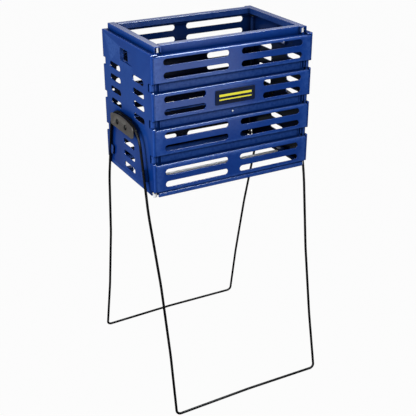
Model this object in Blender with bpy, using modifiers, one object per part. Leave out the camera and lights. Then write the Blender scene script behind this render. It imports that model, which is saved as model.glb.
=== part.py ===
"""A tennis ball basket: four moulded panels that stand on two folding wire legs.

Lengths are in metres. The floor is z = 0, the front of the basket faces -Y and +X is to its right.
The basket's own pieces are placed from the top of its rim, with z running down from 0.
"""
import math

import bmesh
import bpy
from mathutils import Matrix, Vector

# Running and assembly clearances
FIT = 0.0003
PIN_FIT = 0.0003
WIRE_GAP = 0.0005

# The basket as a whole
STANDING_HEIGHT = 0.807
BASKET_WIDTH = 0.374
BASKET_DEPTH = 0.244
BASKET_HEIGHT = 0.311
WALL = 0.003

# The rim strip that runs round the mouth
RIM_WIDTH = 0.016
RIM_LIP = 0.012
RIM_ROUND = 0.001
SIDE_RIM_SETBACK = 0.011
FRONT_RIM_SETBACK = 0.0145
SIDE_RIM_END = 0.0095
SIDE_LEDGE_DROP = 0.0125
SIDE_LEDGE_ROUND = 0.003

# The raised bands of the front and back panels
BAND_COUNT = 4
BAND_TOP_DROP = 0.0168
BAND_PITCH = 0.0748
BAND_HEIGHT = 0.0545
BAND_STEP = 0.010
BAND_TOP_ROUND = 0.004
BAND_FOOT_ROUND = 0.002
BAND_END_GAP = 0.0058
LIP_HEIGHT = 0.0115
LIP_GROOVE = 0.003
LIP_SETBACK = 0.0015
LIP_ROUND = 0.0008
LIP_END_INSET = 0.0185
BASE_LEDGE = 0.027
SIDE_BASE_LEDGE = 0.012
BASE_ROUND = 0.0015
BASE_NOTCH_HEIGHT = 0.0105
BASE_NOTCH_DEPTH = 0.016

# Slots
SLOT_HEIGHT = 0.013
SLOT_PITCH = 0.0267
SLOT_ROW_OFFSET = 0.0268
LOW_BAND_SLOT_SHIFT = 0.004
SLOT_OUTER_END = 0.1605
SLOT_INNER_END = 0.0144
SLOT_LABEL_END = 0.0675
SIDE_SLOT_LENGTH = 0.0526
SIDE_SLOT_CENTRE = 0.0571
SIDE_SLOT_DROP = 0.079
SIDE_SLOT_ROWS = 4
LOW_SLOT_LENGTH = 0.0546
LOW_SLOT_RISE = 0.0242
LOW_SLOT_ROWS = 3

# The lobes and notches along the side panels' upright edges
NOTCH_BELOW_BAND = 0.0017
NOTCH_HEIGHT = 0.015
NOTCH_DEPTH = 0.017
LOBE_ROUND = 0.0045
EDGE_THICKNESS = 0.0055
EDGE_LAND = 0.0055
EDGE_ROUND = 0.004

# Corner rods and the knuckles that they pass through
ROD_DIAMETER = 0.005
ROD_INSET_X = 0.006
ROD_INSET_Y = 0.012
ROD_HEAD = 0.0085
ROD_HEAD_HEIGHT = 0.002
ROD_TAIL = 0.0025
KNUCKLE_DIAMETER = 0.010
KNUCKLE_TOP_DROP = 0.0245
KNUCKLE_GAP = 0.0005
CORNER_CUT = 0.0195
CORNER_RIB = 0.0025

# Short pins in the corner gaps of the rim
RIM_PIN_DIAMETER = 0.0045
RIM_PIN_INSET = 0.0085
RIM_PIN_BOSS = 0.0085
RIM_PIN_BOSS_HEIGHT = 0.0045
RIM_PIN_SOCKET = 0.0015

# Bars across the bottom
BAR_DIAMETER = 0.006
BAR_SPACING = 0.0634
BAR_SOCKET = 0.012
BAR_SOCKET_LENGTH = 0.018

# Window near the top of each side panel, the frame behind it and the ramp that leads into it
WINDOW_DROP = 0.031
WINDOW_HEIGHT = 0.027
WINDOW_START = -0.027
WINDOW_LENGTH = 0.034
WINDOW_ROUND = 0.001
FRAME_DEPTH = 0.008
FRAME_WALL = 0.002
RAMP_LENGTH = 0.028
RAMP_DEPTH = 0.002

# Label plate and the rivet under it
LABEL_WIDTH = 0.093
LABEL_HEIGHT = 0.030
LABEL_BAND = 1
LABEL_BELOW_MIDDLE = 0.0006
LABEL_THICKNESS = 0.0012
LABEL_ROUND = 0.0015
RIVET_HEAD = 0.0042
RIVET_HEAD_HEIGHT = 0.001
RIVET_SHANK = 0.0024

# Legs: bent wires whose cranked tops turn on the far pair of pins
WIRE_DIAMETER = 0.0055
PIVOT_SPACING = 0.0412
PIVOT_DROP = 0.187
CRANK_RISE = 0.015
CRANK_ROUND = 0.008
SHOULDER_REACH = 0.0735
SHOULDER_ROUND = 0.052
KNEE_DROP = 0.348
SHIN_DROP = 0.507
SHIN_NARROWING = 0.009
ANKLE_DROP = 0.667
ANKLE_NARROWING = 0.0122
BOW_ROUND = 0.4
FOOT_REACH = 0.204
FOOT_ROUND = 0.010
FOOT_NARROWING = 0.0108
RAIL_RISE = 0.003
EYE_SWEEP = 260.0
EYE_STEPS = 13

# Pivot pins, spacers and bracket plates
PIN_DIAMETER = 0.006
PIN_HEAD = 0.0115
PIN_HEAD_HEIGHT = 0.002
PIN_TAIL = 0.010
BOSS_DIAMETER = 0.015
BOSS_PROUD = 0.0011
SPACER_DIAMETER = 0.012
PLATE_THICKNESS = 0.002
PLATE_LENGTH = 0.116
PLATE_TOP_DROP = 0.1695
PLATE_HEIGHT = 0.033
PLATE_ARCH = 0.0075
PLATE_ROUND = 0.009
PLATE_ARCH_STEPS = 6
STOP_RISE = 0.027
STOP_HEIGHT = 0.021
STOP_WIDTH = 0.012
STOP_ROUND = 0.002

# Worked out from the sizes above
SIDE_FACE = BASKET_WIDTH / 2
FRONT_FACE = BASKET_DEPTH / 2
WIRE_RADIUS = WIRE_DIAMETER / 2
INNER_PLANE = SIDE_FACE + BOSS_PROUD + FIT + WIRE_RADIUS
OUTER_PLANE = INNER_PLANE + WIRE_DIAMETER + WIRE_GAP
PLATE_PLANE = OUTER_PLANE + WIRE_RADIUS + WIRE_GAP
EYE_RADIUS = PIN_DIAMETER / 2 + PIN_FIT + WIRE_RADIUS
ROD_X = SIDE_FACE - ROD_INSET_X
ROD_Y = FRONT_FACE - ROD_INSET_Y
SIDE_RIM_OUT = SIDE_FACE - SIDE_RIM_SETBACK
SIDE_RIM_IN = SIDE_RIM_OUT - RIM_WIDTH
FRONT_RIM_OUT = FRONT_FACE - FRONT_RIM_SETBACK
FRONT_RIM_IN = FRONT_RIM_OUT - RIM_WIDTH
RECESS_FACE = FRONT_FACE - BAND_STEP
BAND_END = SIDE_FACE - BAND_END_GAP
LOBE_FOOT = BASKET_HEIGHT - BASE_NOTCH_HEIGHT
BASE_EDGE_Y = FRONT_FACE - LIP_SETBACK - BASE_LEDGE
BASE_EDGE_X = SIDE_FACE - SIDE_BASE_LEDGE
WINDOW_END = WINDOW_START + WINDOW_LENGTH
BAR_DROP = BASKET_HEIGHT - WALL - BAR_DIAMETER / 2
RIM_PIN_X = SIDE_RIM_OUT - RIM_PIN_INSET
RIM_PIN_Y = ROD_Y
STOP_DROP = BASKET_HEIGHT - STOP_RISE - STOP_HEIGHT
LABEL_BAND_TOP = BAND_TOP_DROP + LABEL_BAND * BAND_PITCH
LABEL_DROP = LABEL_BAND_TOP + BAND_HEIGHT / 2 + LABEL_BELOW_MIDDLE
RIVET_DROP = LABEL_BAND_TOP + (BAND_HEIGHT + BAND_PITCH) / 2

ARC_STEP = math.radians(30)
ROUND_SIDES = 12

# How much of a round head's width and height its flat top and its straight edge take
DOME_TOP = 0.55
DOME_EDGE = 0.45
ROD_CHAMFER = 0.3

# Keeps a slot's two end arcs from meeting in one point
SLOT_ROUNDING = 0.999


def clear_scene():
    """Empty the file of its starting objects."""
    for item in list(bpy.data.objects):
        bpy.data.objects.remove(item, do_unlink=True)


def plain_finish(name, colour, roughness, metallic=0.0):
    """One plain material for a group of pieces."""
    made = bpy.data.materials.new(name)
    made.use_nodes = True
    shader = made.node_tree.nodes["Principled BSDF"]
    shader.inputs["Base Color"].default_value = (*colour, 1.0)
    shader.inputs["Roughness"].default_value = roughness
    shader.inputs["Metallic"].default_value = metallic
    return made


def rounded(corners, closed=False):
    """Replace each corner of a line by an arc. Corners are (point, radius) pairs, in 2D or 3D."""
    made = []
    count = len(corners)
    for index, (point, radius) in enumerate(corners):
        here = Vector(point).to_3d()
        at_end = not closed and index in (0, count - 1)
        if at_end or radius <= 0:
            made.append(here)
            continue
        back = Vector(corners[index - 1][0]).to_3d() - here
        ahead = Vector(corners[(index + 1) % count][0]).to_3d() - here
        back.normalize()
        ahead.normalize()
        turn = math.pi - back.angle(ahead)
        start = here + back * radius * math.tan(turn / 2)
        centre = here + (back + ahead).normalized() * radius / math.cos(turn / 2)
        spoke = start - centre
        axis = spoke.cross(-back).normalized()
        steps = max(1, round(turn / ARC_STEP))
        for step in range(steps + 1):
            made.append(centre + Matrix.Rotation(turn * step / steps, 3, axis) @ spoke)
    return made


def flat(points):
    """The first two coordinates of each point."""
    return [(point[0], point[1]) for point in points]


def left_of(start, end):
    """The unit normal on the left of an edge."""
    edge = (Vector(end) - Vector(start)).normalized()
    return Vector((-edge.y, edge.x))


def wall_outline(corners, thickness):
    """The closed outline of a bent wall whose outer line has these (point, radius) corners.

    The material lies to the left of the line.
    """
    inner = []
    last = len(corners) - 1
    for index, (point, radius) in enumerate(corners):
        before = left_of(corners[index - 1][0], point) if index > 0 else None
        after = left_of(point, corners[index + 1][0]) if index < last else None
        first = before if before is not None else after
        second = after if after is not None else before
        moved = Vector(point) + (first + second) * thickness / (1 + first.dot(second))
        turns_left = first.x * second.y - first.y * second.x > 0
        inner_radius = max(radius - thickness, 0.0) if turns_left else radius + thickness
        inner.append((tuple(moved), inner_radius if radius > 0 else 0.0))
    return flat(rounded(corners)) + flat(reversed(rounded(inner)))


def slot_outline(centre_a, centre_b, length, height):
    """A slot with round ends, lying along the first axis."""
    half_a = length / 2
    half_b = height / 2
    corners = [
        ((centre_a - half_a, centre_b - half_b), half_b * SLOT_ROUNDING),
        ((centre_a + half_a, centre_b - half_b), half_b * SLOT_ROUNDING),
        ((centre_a + half_a, centre_b + half_b), half_b * SLOT_ROUNDING),
        ((centre_a - half_a, centre_b + half_b), half_b * SLOT_ROUNDING),
    ]
    return flat(rounded(corners, closed=True))


def circle_outline(centre_a, centre_b, diameter, sides=ROUND_SIDES):
    """A round hole or disc as an outline."""
    made = []
    for side in range(sides):
        angle = 2 * math.pi * side / sides
        made.append((
            centre_a + diameter / 2 * math.cos(angle),
            centre_b + diameter / 2 * math.sin(angle),
        ))
    return made


PLANES = {
    "XY": Matrix(((1, 0, 0), (0, 1, 0), (0, 0, 1))),
    "YZ": Matrix(((0, 0, 1), (1, 0, 0), (0, 1, 0))),
    "XZ": Matrix(((1, 0, 0), (0, 0, -1), (0, 1, 0))),
}
NORMALS = {"XY": Vector((0, 0, 1)), "YZ": Vector((1, 0, 0)), "XZ": Vector((0, 1, 0))}


def closed_mesh(mesh):
    """Weld a mesh's loose caps and turn its faces outwards."""
    work = bmesh.new()
    work.from_mesh(mesh)
    bmesh.ops.remove_doubles(work, verts=work.verts, dist=1e-6)
    bmesh.ops.recalc_face_normals(work, faces=work.faces)
    work.to_mesh(mesh)
    work.free()
    return mesh


def evaluated_mesh(item):
    """A copy of an object's mesh as its modifiers leave it."""
    bpy.context.view_layer.update()
    graph = bpy.context.evaluated_depsgraph_get()
    return bpy.data.meshes.new_from_object(item.evaluated_get(graph))


def prism(loops, plane, low, high):
    """Stretch outlines in a plane between two heights; loops after the first are holes."""
    outline = bpy.data.curves.new("outline", "CURVE")
    outline.dimensions = "2D"
    outline.fill_mode = "BOTH"
    outline.extrude = (high - low) / 2
    for loop in loops:
        spline = outline.splines.new("POLY")
        spline.points.add(len(loop) - 1)
        for point, place in zip(spline.points, loop):
            point.co = (place[0], place[1], 0.0, 1.0)
        spline.use_cyclic_u = True
    holder = bpy.data.objects.new("outline", outline)
    bpy.context.scene.collection.objects.link(holder)
    mesh = evaluated_mesh(holder)
    bpy.data.objects.remove(holder, do_unlink=True)
    bpy.data.curves.remove(outline)
    mesh.transform(PLANES[plane].to_4x4())
    mesh.transform(Matrix.Translation(NORMALS[plane] * (low + high) / 2))
    return closed_mesh(mesh)


def block(low, high):
    """A box between two corners."""
    work = bmesh.new()
    bmesh.ops.create_cube(work, size=1.0)
    size = Vector(high) - Vector(low)
    centre = (Vector(high) + Vector(low)) / 2
    bmesh.ops.scale(work, vec=size, verts=work.verts)
    bmesh.ops.translate(work, vec=centre, verts=work.verts)
    mesh = bpy.data.meshes.new("block")
    work.to_mesh(mesh)
    work.free()
    return mesh


def round_bar(diameter, axis, start, end, place, sides=ROUND_SIDES):
    """A cylinder along X or Z between two positions; place gives its other two coordinates."""
    work = bmesh.new()
    bmesh.ops.create_cone(
        work, cap_ends=True, segments=sides,
        radius1=diameter / 2, radius2=diameter / 2, depth=end - start,
    )
    middle = (start + end) / 2
    if axis == "X":
        bmesh.ops.rotate(work, verts=work.verts, matrix=Matrix.Rotation(math.pi / 2, 3, "Y"))
        centre = Vector((middle, place[0], place[1]))
    else:
        centre = Vector((place[0], place[1], middle))
    bmesh.ops.translate(work, vec=centre, verts=work.verts)
    mesh = bpy.data.meshes.new("bar")
    work.to_mesh(mesh)
    work.free()
    return mesh


def gathered(meshes):
    """Several separate solids in one mesh."""
    work = bmesh.new()
    for mesh in meshes:
        work.from_mesh(mesh)
    made = bpy.data.meshes.new("gathered")
    work.to_mesh(made)
    work.free()
    return made


def combined(mesh, tool, operation):
    """The Boolean union, difference or intersection of two meshes."""
    base = bpy.data.objects.new("base", mesh)
    other = bpy.data.objects.new("other", tool)
    for item in (base, other):
        bpy.context.scene.collection.objects.link(item)
    step = base.modifiers.new("shape", "BOOLEAN")
    step.operation = operation
    step.solver = "EXACT"
    step.object = other
    made = evaluated_mesh(base)
    for item in (base, other):
        bpy.data.objects.remove(item, do_unlink=True)
    return closed_mesh(made)


def mirrored(mesh, axis):
    """A mesh reflected in the plane through the origin across one axis, 0 for X or 1 for Y."""
    made = mesh.copy()
    scale = Vector((1, 1, 1))
    scale[axis] = -1
    made.transform(Matrix.Diagonal(scale).to_4x4())
    made.flip_normals()
    return made


def both_ways(mesh, axis):
    """A mesh and its reflection as two solids."""
    return [mesh, mirrored(mesh, axis)]


def smooth(mesh, angle=35.0):
    """Shade round faces smooth and leave real edges sharp."""
    mesh.shade_smooth()
    mesh.set_sharp_from_angle(angle=math.radians(angle))


def add_piece(name, data, finish, parent, location=(0, 0, 0), turned_about_z=0.0):
    """Put one named sub-part in the basket's collection."""
    item = bpy.data.objects.new(name, data)
    if not data.materials:
        data.materials.append(finish)
    PARTS.objects.link(item)
    item.parent = parent
    item.location = location
    item.rotation_euler = (0, 0, turned_about_z)
    return item


def add_turned(name, profile, finish, parent, location, along="Z"):
    """A turned piece from a closed or axis-to-axis profile of (radius, height) points."""
    work = bmesh.new()
    corners = [work.verts.new((radius, 0, height)) for radius, height in profile]
    for first, second in zip(corners, corners[1:]):
        work.edges.new((first, second))
    if profile[0][0] > 0:
        work.edges.new((corners[-1], corners[0]))
    mesh = bpy.data.meshes.new(name)
    work.to_mesh(mesh)
    work.free()
    item = add_piece(name, mesh, finish, parent, location)
    turn = item.modifiers.new("turned", "SCREW")
    turn.axis = "Z"
    turn.steps = ROUND_SIDES
    turn.render_steps = ROUND_SIDES
    turn.use_merge_vertices = True
    turn.merge_threshold = 0.00001
    turn.use_smooth_shade = False
    if along == "X":
        item.rotation_euler = (0, math.pi / 2, 0)
    if along == "-X":
        item.rotation_euler = (0, -math.pi / 2, 0)
    return item


def add_empty(name, location, parent=None):
    """A plain frame that carries pieces."""
    item = bpy.data.objects.new(name, None)
    PARTS.objects.link(item)
    item.parent = parent
    item.location = location
    return item


def band_drops():
    """Top and bottom of each raised band, measured down from the rim."""
    made = []
    for band in range(BAND_COUNT):
        top = BAND_TOP_DROP + band * BAND_PITCH
        made.append((top, top + BAND_HEIGHT))
    foot = BASKET_HEIGHT - LIP_HEIGHT - LIP_GROOVE
    made[-1] = (made[-1][0], foot)
    return made


def notch_drops():
    """Top and bottom of each notch in a side panel's upright edge."""
    made = []
    for _, bottom in band_drops()[:-1]:
        top = bottom + NOTCH_BELOW_BAND
        made.append((top, top + NOTCH_HEIGHT))
    return made


def knuckle_drops():
    """Height ranges of the side panel's knuckles, one in each lobe."""
    tops = [KNUCKLE_TOP_DROP] + [bottom + KNUCKLE_GAP for _, bottom in notch_drops()]
    feet = [top - KNUCKLE_GAP for top, _ in notch_drops()] + [LOBE_FOOT]
    return list(zip(tops, feet))


def front_profile():
    """Section of the front panel in Y and Z: rim, bands, bottom lip and ledge."""
    corners = [
        ((-FRONT_RIM_IN, -RIM_LIP), 0.0),
        ((-FRONT_RIM_IN, 0.0), RIM_ROUND),
        ((-FRONT_RIM_OUT, 0.0), RIM_ROUND),
    ]
    inside = -FRONT_RIM_OUT
    for top, bottom in band_drops():
        corners += [
            ((inside, -top), 0.0),
            ((-FRONT_FACE, -top), BAND_TOP_ROUND),
            ((-FRONT_FACE, -bottom), BAND_FOOT_ROUND),
        ]
        inside = -RECESS_FACE
        corners.append(((inside, -bottom), 0.0))
    groove = -(FRONT_FACE - LIP_GROOVE)
    corners[-1] = ((groove, corners[-1][0][1]), 0.0)
    lip_face = -(FRONT_FACE - LIP_SETBACK)
    corners += [
        ((groove, -(BASKET_HEIGHT - LIP_HEIGHT)), 0.0),
        ((lip_face, -(BASKET_HEIGHT - LIP_HEIGHT)), LIP_ROUND),
        ((lip_face, -BASKET_HEIGHT), BASE_ROUND),
        ((-BASE_EDGE_Y, -BASKET_HEIGHT), 0.0),
    ]
    return wall_outline(corners, WALL)


def front_slots():
    """Outlines of the front panel's slots, two in each row and two rows in each band."""
    made = []
    for band, (band_top, _) in enumerate(band_drops()):
        inner = SLOT_LABEL_END if band == LABEL_BAND else SLOT_INNER_END
        length = SLOT_OUTER_END - inner
        centre = (SLOT_OUTER_END + inner) / 2
        for row in (-0.5, 0.5):
            drop = band_top + SLOT_ROW_OFFSET + row * SLOT_PITCH
            if band == BAND_COUNT - 1:
                drop += LOW_BAND_SLOT_SHIFT
            made.append(slot_outline(centre, -drop, length, SLOT_HEIGHT))
            made.append(slot_outline(-centre, -drop, length, SLOT_HEIGHT))
    return made


def front_knuckle(top, bottom):
    """One knuckle of the front panel's right edge, with the web that carries it."""
    low = -bottom + KNUCKLE_GAP
    high = -top - KNUCKLE_GAP
    barrel = round_bar(KNUCKLE_DIAMETER, "Z", low, high, (ROD_X, -ROD_Y))
    strip_start = SIDE_FACE - CORNER_CUT + 2 * CORNER_RIB
    web_back = ROD_Y - KNUCKLE_DIAMETER / 3
    web = block(
        (strip_start - 0.010, -(web_back + WALL), low),
        (ROD_X - ROD_DIAMETER / 2, -web_back, high),
    )
    strip = block(
        (strip_start, -RECESS_FACE, low),
        (ROD_X - ROD_DIAMETER / 2, -(web_back + WALL / 2), high),
    )
    return combined(combined(barrel, web, "UNION"), strip, "UNION")


def front_panel_mesh():
    """The moulded front panel, which is also the back panel turned round."""
    mesh = prism([front_profile()], "YZ", -BAND_END + FIT, BAND_END - FIT)
    slots = [prism([loop], "XZ", -FRONT_FACE - WALL, -RECESS_FACE + WALL) for loop in front_slots()]
    mesh = combined(mesh, gathered(slots), "DIFFERENCE")

    # The rim stops short of the side panels' rims, and the corners leave room for the knuckles
    above_bands = -(BAND_TOP_DROP - FIT / 2)
    rim_end = block(
        (SIDE_RIM_IN - FIT, -FRONT_FACE - WALL, above_bands),
        (SIDE_FACE, -FRONT_RIM_IN + WALL, WALL),
    )
    corner = block(
        (SIDE_FACE - CORNER_CUT, -(FRONT_FACE - EDGE_LAND), -BASKET_HEIGHT - WALL),
        (SIDE_FACE, -BASE_EDGE_Y + WALL, -(BAND_TOP_DROP + WALL)),
    )
    lip_end = block(
        (SIDE_FACE - LIP_END_INSET, -FRONT_FACE - WALL, -BASKET_HEIGHT - WALL),
        (SIDE_FACE, -BASE_EDGE_Y + WALL, -(BASKET_HEIGHT - LIP_HEIGHT)),
    )
    for cut in (rim_end, corner, lip_end):
        mesh = combined(mesh, gathered(both_ways(cut, 0)), "DIFFERENCE")

    # Upright ribs beside the corner gaps, and the knuckles past them
    for top, bottom in notch_drops():
        rib = block(
            (SIDE_FACE - CORNER_CUT - CORNER_RIB, -RECESS_FACE - CORNER_RIB / 2, -bottom - FIT),
            (SIDE_FACE - CORNER_CUT - FIT, -RECESS_FACE + WALL / 2, -top + FIT),
        )
        mesh = combined(mesh, gathered(both_ways(rib, 0)), "UNION")
        knuckle = front_knuckle(top, bottom)
        mesh = combined(mesh, gathered(both_ways(knuckle, 0)), "UNION")
    boss = round_bar(
        RIM_PIN_BOSS, "Z", -BAND_TOP_DROP - WALL / 2, -BAND_TOP_DROP + RIM_PIN_BOSS_HEIGHT,
        (RIM_PIN_X, -RIM_PIN_Y),
    )
    mesh = combined(mesh, gathered(both_ways(boss, 0)), "UNION")

    bores = both_ways(
        round_bar(
            ROD_DIAMETER + 2 * PIN_FIT, "Z", -BASKET_HEIGHT, -BAND_TOP_DROP - WALL,
            (ROD_X, -ROD_Y),
        ), 0,
    )
    bores += both_ways(
        round_bar(
            RIM_PIN_DIAMETER + 2 * PIN_FIT, "Z", -BAND_TOP_DROP, 0.0,
            (RIM_PIN_X, -RIM_PIN_Y),
        ), 0,
    )
    mesh = combined(mesh, gathered(bores), "DIFFERENCE")
    smooth(mesh)
    return mesh


def side_profile():
    """Section of the right panel in X and Z, its outer line with the material on the left."""
    corners = [
        ((BASE_EDGE_X, -BASKET_HEIGHT), 0.0),
        ((SIDE_FACE, -BASKET_HEIGHT), BASE_ROUND),
        ((SIDE_FACE, -SIDE_LEDGE_DROP), SIDE_LEDGE_ROUND),
        ((SIDE_RIM_OUT, -SIDE_LEDGE_DROP), 0.0),
        ((SIDE_RIM_OUT, 0.0), RIM_ROUND),
        ((SIDE_RIM_IN, 0.0), RIM_ROUND),
        ((SIDE_RIM_IN, -RIM_LIP), 0.0),
    ]
    return wall_outline(corners, WALL)


def side_silhouette():
    """The right panel seen from the side: rim, lobes and notches."""
    rim_end = FRONT_FACE - SIDE_RIM_END
    ledge = -SIDE_LEDGE_DROP - FIT
    half = [
        ((rim_end, FIT), RIM_ROUND),
        ((rim_end, ledge), 0.0),
        ((FRONT_FACE, ledge), LOBE_ROUND),
    ]
    for top, bottom in notch_drops():
        half += [
            ((FRONT_FACE, -top), LOBE_ROUND),
            ((FRONT_FACE - NOTCH_DEPTH, -top), 0.0),
            ((FRONT_FACE - NOTCH_DEPTH, -bottom), 0.0),
            ((FRONT_FACE, -bottom), LOBE_ROUND),
        ]
    half += [
        ((FRONT_FACE, -LOBE_FOOT), LOBE_ROUND),
        ((FRONT_FACE - BASE_NOTCH_DEPTH, -LOBE_FOOT), 0.0),
        ((FRONT_FACE - BASE_NOTCH_DEPTH, -BASKET_HEIGHT - FIT), 0.0),
    ]
    other = [((-point[0], point[1]), radius) for point, radius in reversed(half)]
    return flat(rounded(half + other, closed=True))


def window_outline(grow):
    """The right panel's window, or the outside of its frame when grown."""
    low = -(WINDOW_DROP + WINDOW_HEIGHT + grow)
    high = -(WINDOW_DROP - grow)
    corners = [
        ((WINDOW_START - grow, low), WINDOW_ROUND + grow),
        ((WINDOW_END + grow, low), WINDOW_ROUND + grow),
        ((WINDOW_END + grow, high), WINDOW_ROUND + grow),
        ((WINDOW_START - grow, high), WINDOW_ROUND + grow),
    ]
    return flat(rounded(corners, closed=True))


def side_openings():
    """Outlines of the slots, the window and the pivot holes in the right panel."""
    made = []
    for row in range(SIDE_SLOT_ROWS):
        drop = SIDE_SLOT_DROP + row * SLOT_PITCH
        for side in (-1, 1):
            centre = side * SIDE_SLOT_CENTRE
            made.append(slot_outline(centre, -drop, SIDE_SLOT_LENGTH, SLOT_HEIGHT))
    for row in range(LOW_SLOT_ROWS):
        drop = BASKET_HEIGHT - LOW_SLOT_RISE - row * SLOT_PITCH
        made.append(slot_outline(0.0, -drop, LOW_SLOT_LENGTH, SLOT_HEIGHT))
    made.append(window_outline(0.0))
    for side in (-1, 1):
        made.append(circle_outline(side * PIVOT_SPACING / 2, -PIVOT_DROP, PIN_DIAMETER + 2 * PIN_FIT))
    return made


def edge_rib():
    """What thickens a side panel's upright edge, behind its outer wall."""
    return block(
        (SIDE_FACE - EDGE_THICKNESS, FRONT_FACE - EDGE_LAND, -(BASKET_HEIGHT - WALL / 2)),
        (SIDE_FACE - WALL / 2, FRONT_FACE + WALL, -(SIDE_LEDGE_DROP + WALL / 2)),
    )


def edge_round_cutter():
    """What rounds off a side panel's upright outer edge, in plan."""
    out_x = SIDE_FACE + WALL
    out_y = FRONT_FACE + WALL
    corners = [
        ((SIDE_FACE, FRONT_FACE - 2 * EDGE_ROUND), 0.0),
        ((SIDE_FACE, FRONT_FACE), EDGE_ROUND),
        ((SIDE_FACE - EDGE_ROUND, FRONT_FACE), 0.0),
        ((SIDE_FACE - EDGE_ROUND, out_y), 0.0),
        ((out_x, out_y), 0.0),
        ((out_x, FRONT_FACE - 2 * EDGE_ROUND), 0.0),
    ]
    outline = flat(rounded(corners, closed=True))[1:]
    return prism([outline], "XY", -BASKET_HEIGHT - WALL, 0.0)


def leg_line(drop):
    """Distance from the basket's middle to a leg's wire at a given drop below the rim."""
    shoulder_drop = PIVOT_DROP - CRANK_RISE
    foot_drop = STANDING_HEIGHT - WIRE_RADIUS
    share = (drop - shoulder_drop) / (foot_drop - shoulder_drop)
    return SHOULDER_REACH + share * (FOOT_REACH - SHOULDER_REACH)


def leg_stop(side, wire_plane):
    """The small clip on a side panel that a leg's wire rests against."""
    slope = math.atan2(leg_line(1.0) - leg_line(0.0), 1.0)
    clear = (WIRE_RADIUS + FIT) / math.cos(slope)
    foot = STOP_DROP + STOP_HEIGHT
    corners = [
        ((side * (leg_line(STOP_DROP) - clear), -STOP_DROP), STOP_ROUND),
        ((side * (leg_line(foot) - clear), -foot), STOP_ROUND),
        ((side * (leg_line(foot) - clear - STOP_WIDTH), -foot), STOP_ROUND),
        ((side * (leg_line(STOP_DROP) - clear - STOP_WIDTH), -STOP_DROP), STOP_ROUND),
    ]
    return prism([flat(rounded(corners, closed=True))], "YZ", SIDE_FACE - WALL / 2, wire_plane)


def window_ramp():
    """What cuts the shallow ramp beside the right panel's window."""
    corners = [
        (SIDE_FACE, WINDOW_END + RAMP_LENGTH),
        (SIDE_FACE - RAMP_DEPTH, WINDOW_END),
        (SIDE_FACE - RAMP_DEPTH, WINDOW_END - WINDOW_ROUND),
        (SIDE_FACE + WALL, WINDOW_END - WINDOW_ROUND),
        (SIDE_FACE + WALL, WINDOW_END + RAMP_LENGTH),
    ]
    return prism([corners], "XY", -(WINDOW_DROP + WINDOW_HEIGHT), -WINDOW_DROP)


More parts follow.
